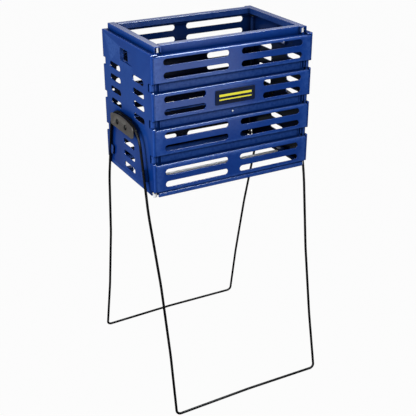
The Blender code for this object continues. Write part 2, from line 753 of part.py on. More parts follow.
def side_panel_mesh():
    """The moulded right panel, which is also the left panel turned half round."""
    mesh = prism([side_profile()], "XZ", -FRONT_FACE - WALL / 2, FRONT_FACE + WALL / 2)
    mesh = combined(mesh, gathered(both_ways(edge_rib(), 1)), "UNION")
    silhouette = prism([side_silhouette()] + side_openings(), "YZ", SIDE_RIM_IN - WALL, SIDE_FACE + WALL)
    mesh = combined(mesh, silhouette, "INTERSECT")
    mesh = combined(mesh, gathered(both_ways(edge_round_cutter(), 1)), "DIFFERENCE")

    # The bottom ledge runs between the front and back panels' ledges
    ledge_start = BASE_EDGE_Y - FIT
    for inner_x, outer_y in (
        (SIDE_FACE - WALL + FIT / 2, FRONT_FACE - EDGE_LAND),
        (SIDE_FACE - EDGE_THICKNESS, FRONT_FACE + WALL),
    ):
        ledge_end = block(
            (BASE_EDGE_X - WALL, ledge_start, -BASKET_HEIGHT - WALL),
            (inner_x, outer_y, -(BASKET_HEIGHT - 2 * WALL)),
        )
        mesh = combined(mesh, gathered(both_ways(ledge_end, 1)), "DIFFERENCE")

    for top, bottom in knuckle_drops():
        barrel = round_bar(KNUCKLE_DIAMETER, "Z", -bottom, -top, (ROD_X, ROD_Y))
        mesh = combined(mesh, gathered(both_ways(barrel, 1)), "UNION")

    frame = [window_outline(FRAME_WALL), window_outline(0.0)]
    additions = [prism(frame, "YZ", SIDE_FACE - FRAME_DEPTH, SIDE_FACE - WALL + WALL / 4)]
    additions.append(leg_stop(-1, INNER_PLANE))
    additions.append(leg_stop(1, OUTER_PLANE))
    for side in (-1, 1):
        boss = [
            circle_outline(side * PIVOT_SPACING / 2, -PIVOT_DROP, BOSS_DIAMETER),
            circle_outline(side * PIVOT_SPACING / 2, -PIVOT_DROP, PIN_DIAMETER + 2 * PIN_FIT),
        ]
        additions.append(prism(boss, "YZ", SIDE_FACE - WALL / 2, SIDE_FACE + BOSS_PROUD))
        middle = side * BAR_SPACING / 2
        additions.append(block(
            (SIDE_FACE - WALL / 2 - BAR_SOCKET_LENGTH, middle - BAR_SOCKET / 2, -(BASKET_HEIGHT - WALL / 2)),
            (SIDE_FACE - WALL / 2, middle + BAR_SOCKET / 2, -(BAR_DROP - BAR_SOCKET / 2)),
        ))
    mesh = combined(mesh, gathered(additions), "UNION")

    bores = both_ways(
        round_bar(
            ROD_DIAMETER + 2 * PIN_FIT, "Z", -BASKET_HEIGHT - WALL, -KNUCKLE_TOP_DROP + WALL,
            (ROD_X, ROD_Y),
        ), 1,
    )
    bores += both_ways(
        round_bar(
            RIM_PIN_DIAMETER + 2 * PIN_FIT, "Z", -WALL * 1.5, -RIM_PIN_SOCKET,
            (RIM_PIN_X, RIM_PIN_Y),
        ), 1,
    )
    bores += both_ways(
        round_bar(
            BAR_DIAMETER + 2 * PIN_FIT, "X", SIDE_FACE - WALL - BAR_SOCKET_LENGTH, SIDE_FACE - WALL,
            (BAR_SPACING / 2, -BAR_DROP),
        ), 1,
    )
    mesh = combined(mesh, gathered(bores), "DIFFERENCE")

    mesh = combined(mesh, window_ramp(), "DIFFERENCE")

    # A pocket in the wall's inside clears each corner rod's head
    head_pocket = round_bar(
        ROD_HEAD + 2 * PIN_FIT, "Z", -KNUCKLE_TOP_DROP, -KNUCKLE_TOP_DROP + ROD_HEAD_HEIGHT + 2 * PIN_FIT,
        (ROD_X, ROD_Y),
    )
    mesh = combined(mesh, gathered(both_ways(head_pocket, 1)), "DIFFERENCE")
    smooth(mesh)
    return mesh


def half_leg(wire_plane):
    """One side of a leg, from its eye to the middle of its rail.

    Points are measured from the pivot: across, towards the feet and up.
    """
    pivot = -PIVOT_SPACING / 2
    foot_plane = wire_plane - FOOT_NARROWING

    # The rail rises towards its middle, so the wire is lowest where the foot's bend ends
    rail_middle = PIVOT_DROP - STANDING_HEIGHT + WIRE_RADIUS + RAIL_RISE
    foot_height = rail_middle - RAIL_RISE * foot_plane / (foot_plane - FOOT_ROUND)

    eye = []
    for step in range(EYE_STEPS + 1):
        angle = math.radians(180 + EYE_SWEEP * (1 - step / EYE_STEPS))
        eye.append((wire_plane, EYE_RADIUS * math.cos(angle), EYE_RADIUS * math.sin(angle)))

    corners = [
        (eye[-1], 0.0),
        ((wire_plane, -EYE_RADIUS, CRANK_RISE), CRANK_ROUND),
        ((wire_plane, SHOULDER_REACH - pivot, CRANK_RISE), SHOULDER_ROUND),
    ]
    for drop, narrowing in (
        (KNEE_DROP, 0.0), (SHIN_DROP, SHIN_NARROWING), (ANKLE_DROP, ANKLE_NARROWING),
    ):
        place = (wire_plane - narrowing, leg_line(drop) - pivot, PIVOT_DROP - drop)
        corners.append((place, BOW_ROUND))
    corners.append(((foot_plane, FOOT_REACH - pivot, foot_height), FOOT_ROUND))
    corners.append(((0.0, FOOT_REACH - pivot, rail_middle), 0.0))
    return eye[:-1] + [tuple(point) for point in rounded(corners)]


def leg_points(foot_side):
    """A leg's wire from eye to eye, measured from its pivot.

    foot_side is -1 for the leg whose feet stand in front and 1 for the one behind. Both are the
    same wire: its outer side passes outside the other leg's inner side, and a half turn swaps them.
    """
    outer = half_leg(OUTER_PLANE)
    inner = [(-across, along, height) for across, along, height in half_leg(INNER_PLANE)[:-1]]
    made = outer + list(reversed(inner))
    return [(foot_side * across, foot_side * along, height) for across, along, height in made]


def add_leg(name, foot_side, finish, basket):
    """One bent wire leg, whose origin is on its pivot axis."""
    shape = bpy.data.curves.new(name, "CURVE")
    shape.dimensions = "3D"
    shape.bevel_depth = WIRE_RADIUS
    shape.bevel_resolution = 2
    shape.use_fill_caps = True
    points = leg_points(foot_side)
    spline = shape.splines.new("POLY")
    spline.points.add(len(points) - 1)
    for point, place in zip(spline.points, points):
        point.co = (*place, 1.0)
    pivot = add_empty(name + "_pivot", (0, -foot_side * PIVOT_SPACING / 2, -PIVOT_DROP), basket)
    return add_piece(name, shape, finish, pivot)


def pivot_pin_profile():
    """A pivot pin from its domed head down to its riveted tail; height 0 is the panel's face."""
    head_seat = PLATE_PLANE - SIDE_FACE + PLATE_THICKNESS + FIT
    head = PIN_HEAD / 2
    shaft = PIN_DIAMETER / 2
    tail_top = -WALL - FIT
    return [
        (0.0, head_seat + PIN_HEAD_HEIGHT),
        (head * DOME_TOP, head_seat + PIN_HEAD_HEIGHT),
        (head, head_seat + PIN_HEAD_HEIGHT * DOME_EDGE),
        (head, head_seat),
        (shaft, head_seat),
        (shaft, tail_top),
        (PIN_TAIL / 2, tail_top),
        (PIN_TAIL / 2, tail_top - PIN_HEAD_HEIGHT * DOME_EDGE),
        (PIN_TAIL / 2 * DOME_TOP, tail_top - PIN_HEAD_HEIGHT),
        (0.0, tail_top - PIN_HEAD_HEIGHT),
    ]


def ring_profile(bore, outside, height):
    """A plain ring standing on height 0, listed down its outer side."""
    return [(outside / 2, height), (outside / 2, 0.0), (bore / 2, 0.0), (bore / 2, height)]


def rod_profile():
    """A corner rod with its flat head, from the head's top to the tail's rounded end."""
    head_top = -KNUCKLE_TOP_DROP + FIT + ROD_HEAD_HEIGHT
    tail = -BASKET_HEIGHT - ROD_TAIL
    radius = ROD_DIAMETER / 2
    return [
        (0.0, head_top),
        (ROD_HEAD / 2, head_top),
        (ROD_HEAD / 2, head_top - ROD_HEAD_HEIGHT),
        (radius, head_top - ROD_HEAD_HEIGHT),
        (radius, tail + radius * ROD_CHAMFER),
        (radius * (1 - ROD_CHAMFER), tail),
        (0.0, tail),
    ]


def plain_rod_profile(diameter, bottom, top):
    """A straight pin with small chamfers at both ends."""
    radius = diameter / 2
    edge = radius * ROD_CHAMFER
    return [
        (0.0, top), (radius - edge, top), (radius, top - edge),
        (radius, bottom + edge), (radius - edge, bottom), (0.0, bottom),
    ]


def rivet_profile():
    """A small domed rivet; height 0 is the face that its head lies on."""
    head = RIVET_HEAD / 2
    shank = RIVET_SHANK / 2
    return [
        (0.0, FIT + RIVET_HEAD_HEIGHT),
        (head * DOME_TOP, FIT + RIVET_HEAD_HEIGHT),
        (head, FIT + RIVET_HEAD_HEIGHT * DOME_EDGE),
        (head, FIT),
        (shank, FIT),
        (shank, -WALL),
        (0.0, -WALL),
    ]


def plate_mesh():
    """The arched bracket plate with its two pin holes."""
    half = PLATE_LENGTH / 2
    end_top = -(PLATE_TOP_DROP + PLATE_ARCH)
    bottom = -(PLATE_TOP_DROP + PLATE_HEIGHT)
    arch_half = half - PLATE_ROUND / 2
    arch_radius = (arch_half ** 2 + PLATE_ARCH ** 2) / (2 * PLATE_ARCH)
    corners = [((half, bottom), PLATE_ROUND), ((half, end_top), PLATE_ROUND)]
    for step in range(1, PLATE_ARCH_STEPS):
        along = half * (1 - 2 * step / PLATE_ARCH_STEPS)
        sag = arch_radius - math.sqrt(arch_radius ** 2 - along ** 2)
        corners.append(((along, -PLATE_TOP_DROP - sag), 0.0))
    corners += [((-half, end_top), PLATE_ROUND), ((-half, bottom), PLATE_ROUND)]
    loops = [flat(rounded(corners, closed=True))]
    for side in (-1, 1):
        loops.append(circle_outline(side * PIVOT_SPACING / 2, -PIVOT_DROP, PIN_DIAMETER + 2 * PIN_FIT))
    return prism(loops, "YZ", PLATE_PLANE, PLATE_PLANE + PLATE_THICKNESS)


def build():
    """Make every piece of the basket."""
    blue = plain_finish("blue_plastic", (0.035, 0.085, 0.30), 0.38)
    black = plain_finish("black_wire", (0.006, 0.006, 0.007), 0.22)
    steel = plain_finish("bright_steel", (0.78, 0.79, 0.80), 0.25, 1.0)
    grey = plain_finish("grey_plate", (0.10, 0.095, 0.10), 0.45, 0.6)
    navy = plain_finish("navy_label", (0.008, 0.02, 0.06), 0.35)
    nylon = plain_finish("black_nylon", (0.01, 0.01, 0.011), 0.5)

    basket = add_empty("basket", (0, 0, STANDING_HEIGHT))

    back_mesh = front_panel_mesh()
    rivet_hole = circle_outline(0.0, -RIVET_DROP, RIVET_SHANK + 2 * PIN_FIT)
    hole = prism([rivet_hole], "XZ", -FRONT_FACE, -RECESS_FACE + 2 * WALL)
    front_mesh = combined(back_mesh, hole, "DIFFERENCE")
    smooth(front_mesh)
    add_piece("front_panel", front_mesh, blue, basket)
    add_piece("back_panel", back_mesh, blue, basket, turned_about_z=math.pi)

    side_mesh = side_panel_mesh()
    add_piece("right_panel", side_mesh, blue, basket)
    add_piece("left_panel", side_mesh, blue, basket, turned_about_z=math.pi)

    right_plate = plate_mesh()
    add_piece("bracket_right", right_plate, grey, basket)
    add_piece("bracket_left", mirrored(right_plate, 0), grey, basket)

    sides = {"left": -1, "right": 1}
    ends = {"front": -1, "rear": 1}
    rim_pin_foot = -BAND_TOP_DROP + FIT
    for side, across in sides.items():
        for end, along in ends.items():
            place = f"{end}_{side}"
            add_turned(f"corner_rod_{place}", rod_profile(), steel, basket,
                       (across * ROD_X, along * ROD_Y, 0))
            add_turned(f"rim_pin_{place}",
                       plain_rod_profile(RIM_PIN_DIAMETER, rim_pin_foot, -RIM_PIN_SOCKET - FIT),
                       steel, basket, (across * RIM_PIN_X, along * RIM_PIN_Y, 0))
            hole_place = (across * SIDE_FACE, along * PIVOT_SPACING / 2, -PIVOT_DROP)
            outward = "X" if across > 0 else "-X"
            add_turned(f"pivot_pin_{place}", pivot_pin_profile(), black, basket, hole_place, outward)

            # Each leg is in the outer plane on one side only; the spacer fills the other plane
            spare_plane = OUTER_PLANE if (end == "front") == (side == "left") else INNER_PLANE
            spacer = ring_profile(PIN_DIAMETER + 2 * PIN_FIT, SPACER_DIAMETER, WIRE_DIAMETER)
            spacer_place = (across * (spare_plane - WIRE_RADIUS), hole_place[1], hole_place[2])
            add_turned(f"spacer_{place}", spacer, nylon, basket, spacer_place, outward)

    bar_half = SIDE_FACE - WALL - FIT
    for end, along in ends.items():
        add_turned(f"bottom_bar_{end}", plain_rod_profile(BAR_DIAMETER, -bar_half, bar_half),
                   steel, basket, (0, along * BAR_SPACING / 2, -BAR_DROP), "X")

    label_half = LABEL_WIDTH / 2
    label_corners = [
        ((-label_half, -LABEL_DROP - LABEL_HEIGHT / 2), LABEL_ROUND),
        ((label_half, -LABEL_DROP - LABEL_HEIGHT / 2), LABEL_ROUND),
        ((label_half, -LABEL_DROP + LABEL_HEIGHT / 2), LABEL_ROUND),
        ((-label_half, -LABEL_DROP + LABEL_HEIGHT / 2), LABEL_ROUND),
    ]
    label_back = -(FRONT_FACE + FIT)
    label = prism([flat(rounded(label_corners, closed=True))], "XZ", label_back - LABEL_THICKNESS, label_back)
    add_piece("label_plate", label, navy, basket)
    rivet = add_turned("label_rivet", rivet_profile(), steel, basket, (0, -RECESS_FACE, -RIVET_DROP))
    rivet.rotation_euler = (math.pi / 2, 0, 0)

    add_leg("front_leg", -1, black, basket)
    add_leg("rear_leg", 1, black, basket)


clear_scene()
PARTS = bpy.data.collections.new("tennis_ball_basket")
bpy.context.scene.collection.children.link(PARTS)
build()
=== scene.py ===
# %% [markdown]
# # A tennis ball basket on folding wire legs
# This lesson dresses a working model of a ball basket. The model comes in as a fixed frame: its bodies,
# its joints and a plain solid for every piece. Each cell then makes one real piece or one finish.
# The frame keeps the true sizes, so every new piece is drawn in the same metres and the same place.

import math

import bmesh
import bpy
from mathutils import Matrix, Vector


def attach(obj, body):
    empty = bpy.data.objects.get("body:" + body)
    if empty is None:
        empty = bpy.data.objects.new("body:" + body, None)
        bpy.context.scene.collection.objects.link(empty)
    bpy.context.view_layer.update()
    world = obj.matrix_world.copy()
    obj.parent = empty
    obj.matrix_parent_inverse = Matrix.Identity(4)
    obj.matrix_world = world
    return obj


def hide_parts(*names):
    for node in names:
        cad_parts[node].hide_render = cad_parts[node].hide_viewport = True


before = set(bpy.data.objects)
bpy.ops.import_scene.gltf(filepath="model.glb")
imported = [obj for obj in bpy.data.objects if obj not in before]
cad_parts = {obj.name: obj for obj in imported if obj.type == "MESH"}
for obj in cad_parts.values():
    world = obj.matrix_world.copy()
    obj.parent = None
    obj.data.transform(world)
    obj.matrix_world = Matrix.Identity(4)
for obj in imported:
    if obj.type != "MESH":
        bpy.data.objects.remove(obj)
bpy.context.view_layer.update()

# %% [markdown]
# ## The sizes that the pieces share
# A moulded basket is all repeats: bands, slots, lobes and knuckles at one pitch. The sizes could be read
# off the frame's boxes one by one, but naming them once keeps the panels, pins and wires in step.
# Drops are measured down from the rim, as someone with a tape would do it.

# %% Name the sizes
RIM_TOP = 0.807
SIDE_FACE, FRONT_FACE, HEIGHT, WALL = 0.187, 0.122, 0.311, 0.003
FIT, WIRE_GAP = 0.0003, 0.0005
RIM_WIDTH, RIM_SKIRT, RIM_OUTER_ROUND, RIM_INNER_ROUND = 0.016, 0.012, 0.0012, 0.0016
SIDE_RIM_OUT, FRONT_RIM_OUT = 0.176, 0.1075
SIDE_RIM_IN, FRONT_RIM_IN = SIDE_RIM_OUT - RIM_WIDTH, FRONT_RIM_OUT - RIM_WIDTH
BAND_TOP, BAND_PITCH, BAND_HEIGHT, BAND_STEP = 0.0168, 0.0748, 0.0545, 0.010
BAND_END, RECESS_FACE = 0.1812, FRONT_FACE - BAND_STEP
LIP_HEIGHT, LIP_GROOVE, LIP_SETBACK, BASE_ROUND = 0.0100, 0.0010, 0.0015, 0.0015
FRONT_BASE_LEDGE, SIDE_BASE_LEDGE = 0.027, 0.012
BASE_EDGE_Y = FRONT_FACE - LIP_SETBACK - FRONT_BASE_LEDGE
BASE_EDGE_X = SIDE_FACE - SIDE_BASE_LEDGE
SLOT_HEIGHT, SLOT_PITCH, SLOT_LIP = 0.013, 0.0267, 0.0009
NOTCH_START, NOTCH_FINISH, BASE_NOTCH_HEIGHT = 0.0017, 0.0167, 0.0105
LOBE_FOOT, EDGE_LAND = HEIGHT - BASE_NOTCH_HEIGHT, 0.0055
ROD_X, ROD_Y, ROD_DIAMETER, KNUCKLE_DIAMETER = 0.181, 0.110, 0.005, 0.010
KNUCKLE_TOP, KNUCKLE_GAP, CORNER_CUT, CORNER_RIB = 0.0245, 0.0005, 0.0195, 0.0025
RIM_PIN_X, RIM_PIN_DIAMETER = 0.1675, 0.0045
BAR_Y, BAR_DROP, BAR_RADIUS = 0.0317, 0.305, 0.003
PIVOT_Y, PIVOT_DROP, PIN_DIAMETER, BOSS_PROUD = 0.0206, 0.187, 0.006, 0.0011
WIRE_RADIUS = 0.00275
INNER_PLANE = SIDE_FACE + BOSS_PROUD + FIT + WIRE_RADIUS
OUTER_PLANE = INNER_PLANE + 2 * WIRE_RADIUS + WIRE_GAP
PLATE_PLANE = OUTER_PLANE + WIRE_RADIUS + WIRE_GAP
band_drops = [(BAND_TOP + n * BAND_PITCH, BAND_TOP + n * BAND_PITCH + BAND_HEIGHT) for n in range(4)]
band_drops[3] = (band_drops[3][0], HEIGHT - LIP_HEIGHT - LIP_GROOVE)
notch_drops = [(foot + NOTCH_START, foot + NOTCH_FINISH) for _, foot in band_drops[:3]]
print("bands start at", [round(top * 1000, 1) for top, _ in band_drops], "mm below the rim")

# %% [markdown]
# ## The camera
# The camera stands a little to the left and looks down at the basket, so the front and the left side
# both show. A long lens keeps the upright edges nearly parallel. Its place and lens could be guessed by
# eye, but here they were worked out from where the rim, the bands and the feet lie in the picture.

# %% Place the camera
CAMERA_TURN, CAMERA_TILT = 0.5022, 0.4445
eye = bpy.data.cameras.new("basket_camera")
eye.sensor_width = 36.0
eye.lens = 73.67
eye.shift_x, eye.shift_y = 0.00115, -0.0027
eye.clip_end = 60.0
camera = bpy.data.objects.new("basket_camera", eye)
camera.location = (-0.8508, -1.5539, 1.2277)
camera.rotation_euler = (math.pi / 2 - CAMERA_TILT, 0.0, -CAMERA_TURN)
bpy.context.scene.collection.objects.link(camera)
bpy.context.scene.camera = camera
bpy.context.scene.view_settings.view_transform = "Standard"
print("camera stands", round(camera.location.length, 2), "m from the foot of the basket")

# %% [markdown]
# ## A helper for node trees
# Materials, the floor and the world are all node trees. Naming each node and listing its links as pairs
# keeps the later cells short. The helper only makes, sets and joins nodes.


# %% Build node trees by name
def make_node(tree, kind, label, **settings):
    """Add one node, name it and set its properties or its unlinked inputs."""
    node = tree.nodes.new(kind)
    node.name = node.label = label
    for key, value in settings.items():
        if hasattr(node, key):
            setattr(node, key, value)
        else:
            node.inputs[key.replace("_", " ")].default_value = value
    return node


def join(tree, *pairs):
    """Link output sockets to input sockets."""
    for out_socket, in_socket in pairs:
        tree.links.new(out_socket, in_socket)


def paint(red, green, blue):
    """A colour given in the usual 0 to 255 values, as Blender's linear light."""
    linear = []
    for level in (red / 255, green / 255, blue / 255):
        linear.append(level / 12.92 if level <= 0.04045 else ((level + 0.055) / 1.055) ** 2.4)
    return (*linear, 1.0)


WHITE, BLACK = (1.0, 1.0, 1.0, 1.0), (0.0, 0.0, 0.0, 1.0)
print("navy in linear light:", [round(part, 3) for part in paint(20, 45, 120)])

# %% [markdown]
# ## The studio
# The basket stands on a white sweep under large soft lamps. A white background can be made by adding
# light, but that would wash out the basket. Here the floor and the sky show white to the camera, while
# the light and the reflections that they send onto the basket stay low, so its blue stays deep.

# %% Make the floor
FLOOR_SIZE, FLOOR_GREY, FLOOR_WHITENESS = 14.0, 0.1, 0.97
sheet = bmesh.new()
bmesh.ops.create_grid(sheet, x_segments=8, y_segments=8, size=FLOOR_SIZE)
floor_mesh = bpy.data.meshes.new("studio_floor")
sheet.to_mesh(floor_mesh)
sheet.free()
floor = bpy.data.objects.new("studio_floor", floor_mesh)
bpy.context.scene.collection.objects.link(floor)

white_floor = bpy.data.materials.new("white_floor")
white_floor.use_nodes = True
tree = white_floor.node_tree
tree.nodes.clear()
rays = make_node(tree, "ShaderNodeLightPath", "rays")
matt = make_node(tree, "ShaderNodeBsdfDiffuse", "matt", Color=(FLOOR_GREY, FLOOR_GREY, FLOOR_GREY, 1.0))
glow = make_node(tree, "ShaderNodeEmission", "glow", Color=WHITE, Strength=1.0)
share = make_node(tree, "ShaderNodeMath", "share", operation="MULTIPLY")
share.inputs[1].default_value = FLOOR_WHITENESS
mix = make_node(tree, "ShaderNodeMixShader", "mix")
surface = make_node(tree, "ShaderNodeOutputMaterial", "surface")
join(tree, (rays.outputs["Is Camera Ray"], share.inputs[0]), (share.outputs[0], mix.inputs["Fac"]),
     (matt.outputs[0], mix.inputs[1]), (glow.outputs[0], mix.inputs[2]),
     (mix.outputs[0], surface.inputs["Surface"]))
floor_mesh.materials.append(white_floor)
print("floor is", round(floor.dimensions.x), "m wide")

# %% Make the sky
SKY_LIGHT = 0.10
sky = bpy.data.worlds.new("studio_sky")
sky.use_nodes = True
bpy.context.scene.world = sky
tree = sky.node_tree
tree.nodes.clear()
rays = make_node(tree, "ShaderNodeLightPath", "rays")
level = make_node(tree, "ShaderNodeMapRange", "level")
level.inputs["To Min"].default_value = SKY_LIGHT
level.inputs["To Max"].default_value = 1.0
background = make_node(tree, "ShaderNodeBackground", "background", Color=WHITE)
surface = make_node(tree, "ShaderNodeOutputWorld", "surface")
join(tree, (rays.outputs["Is Camera Ray"], level.inputs["Value"]),
     (level.outputs["Result"], background.inputs["Strength"]),
     (background.outputs[0], surface.inputs["Surface"]))
print("the sky lights the basket with", SKY_LIGHT, "of its white")

# %% [markdown]
# ## The lamps
# A glossy moulding is drawn by what it reflects as much as by its colour. One lamp could light it all,
# but then a stronger sheen on a face would also mean a paler blue. So softboxes light the basket, and
# weak cards stand where a face mirrors them, which gives each face its own faint sheen. The edge card
# shows in reflections only and draws the thin bright line along the top of each band.


# %% Hang the soft lamps
def soft_lamp(name, place, target, size, power, tint=(1.0, 1.0, 1.0)):
    """A rectangular softbox that faces a target and stays out of the picture."""
    data = bpy.data.lights.new(name, "AREA")
    data.shape = "RECTANGLE"
    data.size, data.size_y = size
    data.energy = power
    data.color = tint
    lamp = bpy.data.objects.new(name, data)
    lamp.location = place
    lamp.rotation_euler = (Vector(target) - Vector(place)).to_track_quat("-Z", "Y").to_euler()
    lamp.visible_camera = False
    bpy.context.scene.collection.objects.link(lamp)
    return lamp


basket_middle = (0.0, 0.0, 0.65)
soft_lamp("key_softbox", (-2.6, 0.0, 1.2), basket_middle, size=(1.2, 1.2), power=56.0)
soft_lamp("front_softbox", (-0.6, -1.2, 1.3), basket_middle, size=(0.5, 0.5), power=16.0)
soft_lamp("front_sheen_card", (0.15, -0.62, 0.57), (-0.05, -0.12, 0.72), size=(0.30, 0.24), power=0.38,
          tint=(0.85, 0.92, 1.0))
soft_lamp("side_sheen_card", (-0.7, 0.75, 0.45), (-0.187, 0.0, 0.65), size=(0.9, 0.6), power=0.22,
          tint=(0.75, 1.0, 1.0))
soft_lamp("back_softbox", (1.0, 2.0, 1.8), basket_middle, size=(1.4, 0.8), power=6.0)
soft_lamp("top_softbox", (0.6, -0.4, 2.1), basket_middle, size=(0.6, 0.6), power=13.0,
          tint=(0.9, 0.95, 1.0))
edge_card = soft_lamp("edge_card", (0.50, -0.44, 1.93), (-0.2, -0.12, 0.72), size=(0.4, 0.5), power=24.0,
                      tint=(0.85, 0.93, 1.0))
edge_card.visible_diffuse = False

# %% [markdown]
# ## Shader groups for the effects that finishes share
# Moulded plastic, coated wire and painted plate all have a fine grain, a slow drift in colour, edges
# painted lighter than the faces, partly as wear and partly as painted highlight, and some dust on what
# faces up. Each effect could be rebuilt in every material, but one group each, with its own inputs, gives
# the same effect with different values.


# %% Start a shader group
def shader_group(name, inputs, outputs):
    """An empty group with float, vector or colour sockets; inputs carry their usual values."""
    tree = bpy.data.node_groups.new(name, "ShaderNodeTree")
    kinds = {"value": "NodeSocketFloat", "vector": "NodeSocketVector", "colour": "NodeSocketColor"}
    for label, kind, usual in inputs:
        socket = tree.interface.new_socket(name=label, in_out="INPUT", socket_type=kinds[kind])
        if usual is not None:
            socket.default_value = usual
    for label, kind in outputs:
        tree.interface.new_socket(name=label, in_out="OUTPUT", socket_type=kinds[kind])
    return tree, tree.nodes.new("NodeGroupInput"), tree.nodes.new("NodeGroupOutput")


print("ready to start shader groups")


# %% Work out masks and mix colours
def math_node(tree, operation, *values):
    """A Math node whose inputs are sockets or plain numbers."""
    node = tree.nodes.new("ShaderNodeMath")
    node.operation = operation
    for index, value in enumerate(values):
        if isinstance(value, (int, float)):
            node.inputs[index].default_value = value
        else:
            tree.links.new(value, node.inputs[index])
    return node.outputs[0]


def range_node(tree, value, low, high, new_low=0.0, new_high=1.0):
    """Stretch a value from one range to another and hold it there."""
    node = tree.nodes.new("ShaderNodeMapRange")
    limits = {"From Min": low, "From Max": high, "To Min": new_low, "To Max": new_high}
    for label, number in limits.items():
        node.inputs[label].default_value = number
    tree.links.new(value, node.inputs["Value"])
    return node.outputs["Result"]


def colour_mix(tree, label, share, under, over):
    """Lay one colour over another by a share; each may be a socket or a plain colour."""
    node = tree.nodes.new("ShaderNodeMix")
    node.data_type = "RGBA"
    node.name = node.label = label
    tree.links.new(share, node.inputs[0])
    for index, colour in ((6, under), (7, over)):
        if isinstance(colour, tuple):
            node.inputs[index].default_value = colour
        else:
            tree.links.new(colour, node.inputs[index])
    return node.outputs[2]


print("ready to fill shader groups")

# %% Fine grain: the skin of a moulding or a coating
grain, given, result = shader_group(
    "Fine grain", [("Vector", "vector", None), ("Scale", "value", 1800.0)],
    [("Height", "value"), ("Mask", "value")])
cells = make_node(grain, "ShaderNodeTexNoise", "pebbles", Detail=2.0, Roughness=0.6)
pores = make_node(grain, "ShaderNodeTexVoronoi", "pores", feature="SMOOTH_F1")
pore_scale = math_node(grain, "MULTIPLY", given.outputs["Scale"], 0.6)
join(grain, (given.outputs["Vector"], cells.inputs["Vector"]),
     (given.outputs["Scale"], cells.inputs["Scale"]),
     (given.outputs["Vector"], pores.inputs["Vector"]), (pore_scale, pores.inputs["Scale"]))
pitted = math_node(grain, "MULTIPLY", pores.outputs["Distance"], 0.35)
join(grain, (math_node(grain, "ADD", cells.outputs["Fac"], pitted), result.inputs["Height"]),
     (range_node(grain, cells.outputs["Fac"], 0.35, 0.65), result.inputs["Mask"]))
print("made group:", grain.name)

# %% Slow drift: clouds of slightly lighter and darker colour
drift, given, result = shader_group(
    "Slow drift",
    [("Vector", "vector", None), ("Scale", "value", 14.0), ("Light", "colour", WHITE),
     ("Dark", "colour", BLACK)],
    [("Color", "colour")])
clouds = make_node(drift, "ShaderNodeTexNoise", "clouds", Detail=4.0, Roughness=0.55)
join(drift, (given.outputs["Vector"], clouds.inputs["Vector"]),
     (given.outputs["Scale"], clouds.inputs["Scale"]))
patch = range_node(drift, clouds.outputs["Fac"], 0.3, 0.7)
mottled = colour_mix(drift, "mottle", patch, given.outputs["Dark"], given.outputs["Light"])
join(drift, (mottled, result.inputs["Color"]))
print("made group:", drift.name)

# %% Edge wear and highlight: corners that rub against other things, painted lighter partly as wear and partly as painted highlight
wear_and_highlight, given, result = shader_group(
    "Edge wear and highlight", [("Vector", "vector", None), ("Amount", "value", 0.6)], [("Mask", "value")])
shape = make_node(wear_and_highlight, "ShaderNodeNewGeometry", "shape")
breaks = make_node(wear_and_highlight, "ShaderNodeTexNoise", "breaks", Scale=160.0, Detail=3.0)
join(wear_and_highlight, (given.outputs["Vector"], breaks.inputs["Vector"]))
sharp = range_node(wear_and_highlight, shape.outputs["Pointiness"], 0.515, 0.58)
broken = range_node(wear_and_highlight, breaks.outputs["Fac"], 0.3, 0.6, 0.35, 1.0)
worn_and_lit_edge = math_node(wear_and_highlight, "MULTIPLY", sharp, broken)
join(wear_and_highlight, (math_node(wear_and_highlight, "MULTIPLY", worn_and_lit_edge, given.outputs["Amount"]), result.inputs["Mask"]))
print("made group:", wear_and_highlight.name)

# %% Settled dust: what lies on faces that look up
dust, given, result = shader_group(
    "Settled dust", [("Vector", "vector", None), ("Amount", "value", 0.25)], [("Mask", "value")])
shape = make_node(dust, "ShaderNodeNewGeometry", "shape")
split = make_node(dust, "ShaderNodeSeparateXYZ", "split")
patches = make_node(dust, "ShaderNodeTexNoise", "patches", Scale=55.0, Detail=5.0, Roughness=0.7)
join(dust, (shape.outputs["Normal"], split.inputs[0]), (given.outputs["Vector"], patches.inputs["Vector"]))
upward = range_node(dust, split.outputs["Z"], 0.2, 0.95)
speck = range_node(dust, patches.outputs["Fac"], 0.4, 0.75)
lying = math_node(dust, "MULTIPLY", upward, speck)
join(dust, (math_node(dust, "MULTIPLY", lying, given.outputs["Amount"]), result.inputs["Mask"]))
print("made group:", dust.name)

# %% [markdown]
# ## Painted shade on the plastic
# Seen through its slots, the inside of the basket is nearly black, and the corners and the strips behind
# the bands are darker than the bands. Lamps alone could give this, but only with harder light than a plain
# studio has. Two masks paint this shade into the colour instead. One darkens the walls that face inward,
# less so near the mouth. The other darkens what has little open air in front of it. Both lie on the
# surface itself, so the painted shade looks the same from every side.

# %% Inside shade: painted shade on the walls that face into the basket, where little light reaches
SHADE_HEIGHT, MOUTH_HEIGHT, MOUTH_LIGHT = 0.71, 0.80, 0.5
shade, given, result = shader_group(
    "Inside shade", [("Vector", "vector", None), ("Darkest", "value", 0.1)], [("Mask", "value")])
shape = make_node(shade, "ShaderNodeNewGeometry", "shape")
facing = make_node(shade, "ShaderNodeVectorMath", "facing", operation="DOT_PRODUCT")
spread = make_node(shade, "ShaderNodeVectorMath", "spread", operation="MULTIPLY")
spread.inputs[1].default_value = (1.0, 1.0, 0.0)
depth = make_node(shade, "ShaderNodeSeparateXYZ", "depth")
join(shade, (given.outputs["Vector"], spread.inputs[0]), (spread.outputs["Vector"], facing.inputs[0]),
     (shape.outputs["Normal"], facing.inputs[1]), (given.outputs["Vector"], depth.inputs[0]))
outward = range_node(shade, facing.outputs["Value"], -0.06, -0.01)
near_mouth = range_node(shade, depth.outputs["Z"], SHADE_HEIGHT, MOUTH_HEIGHT, 0.0, MOUTH_LIGHT)
dimmest = math_node(shade, "ADD", near_mouth, given.outputs["Darkest"])
lit = math_node(shade, "MULTIPLY", outward, math_node(shade, "SUBTRACT", 1.0, dimmest))
join(shade, (math_node(shade, "ADD", lit, dimmest), result.inputs["Mask"]))
print("made group:", shade.name)
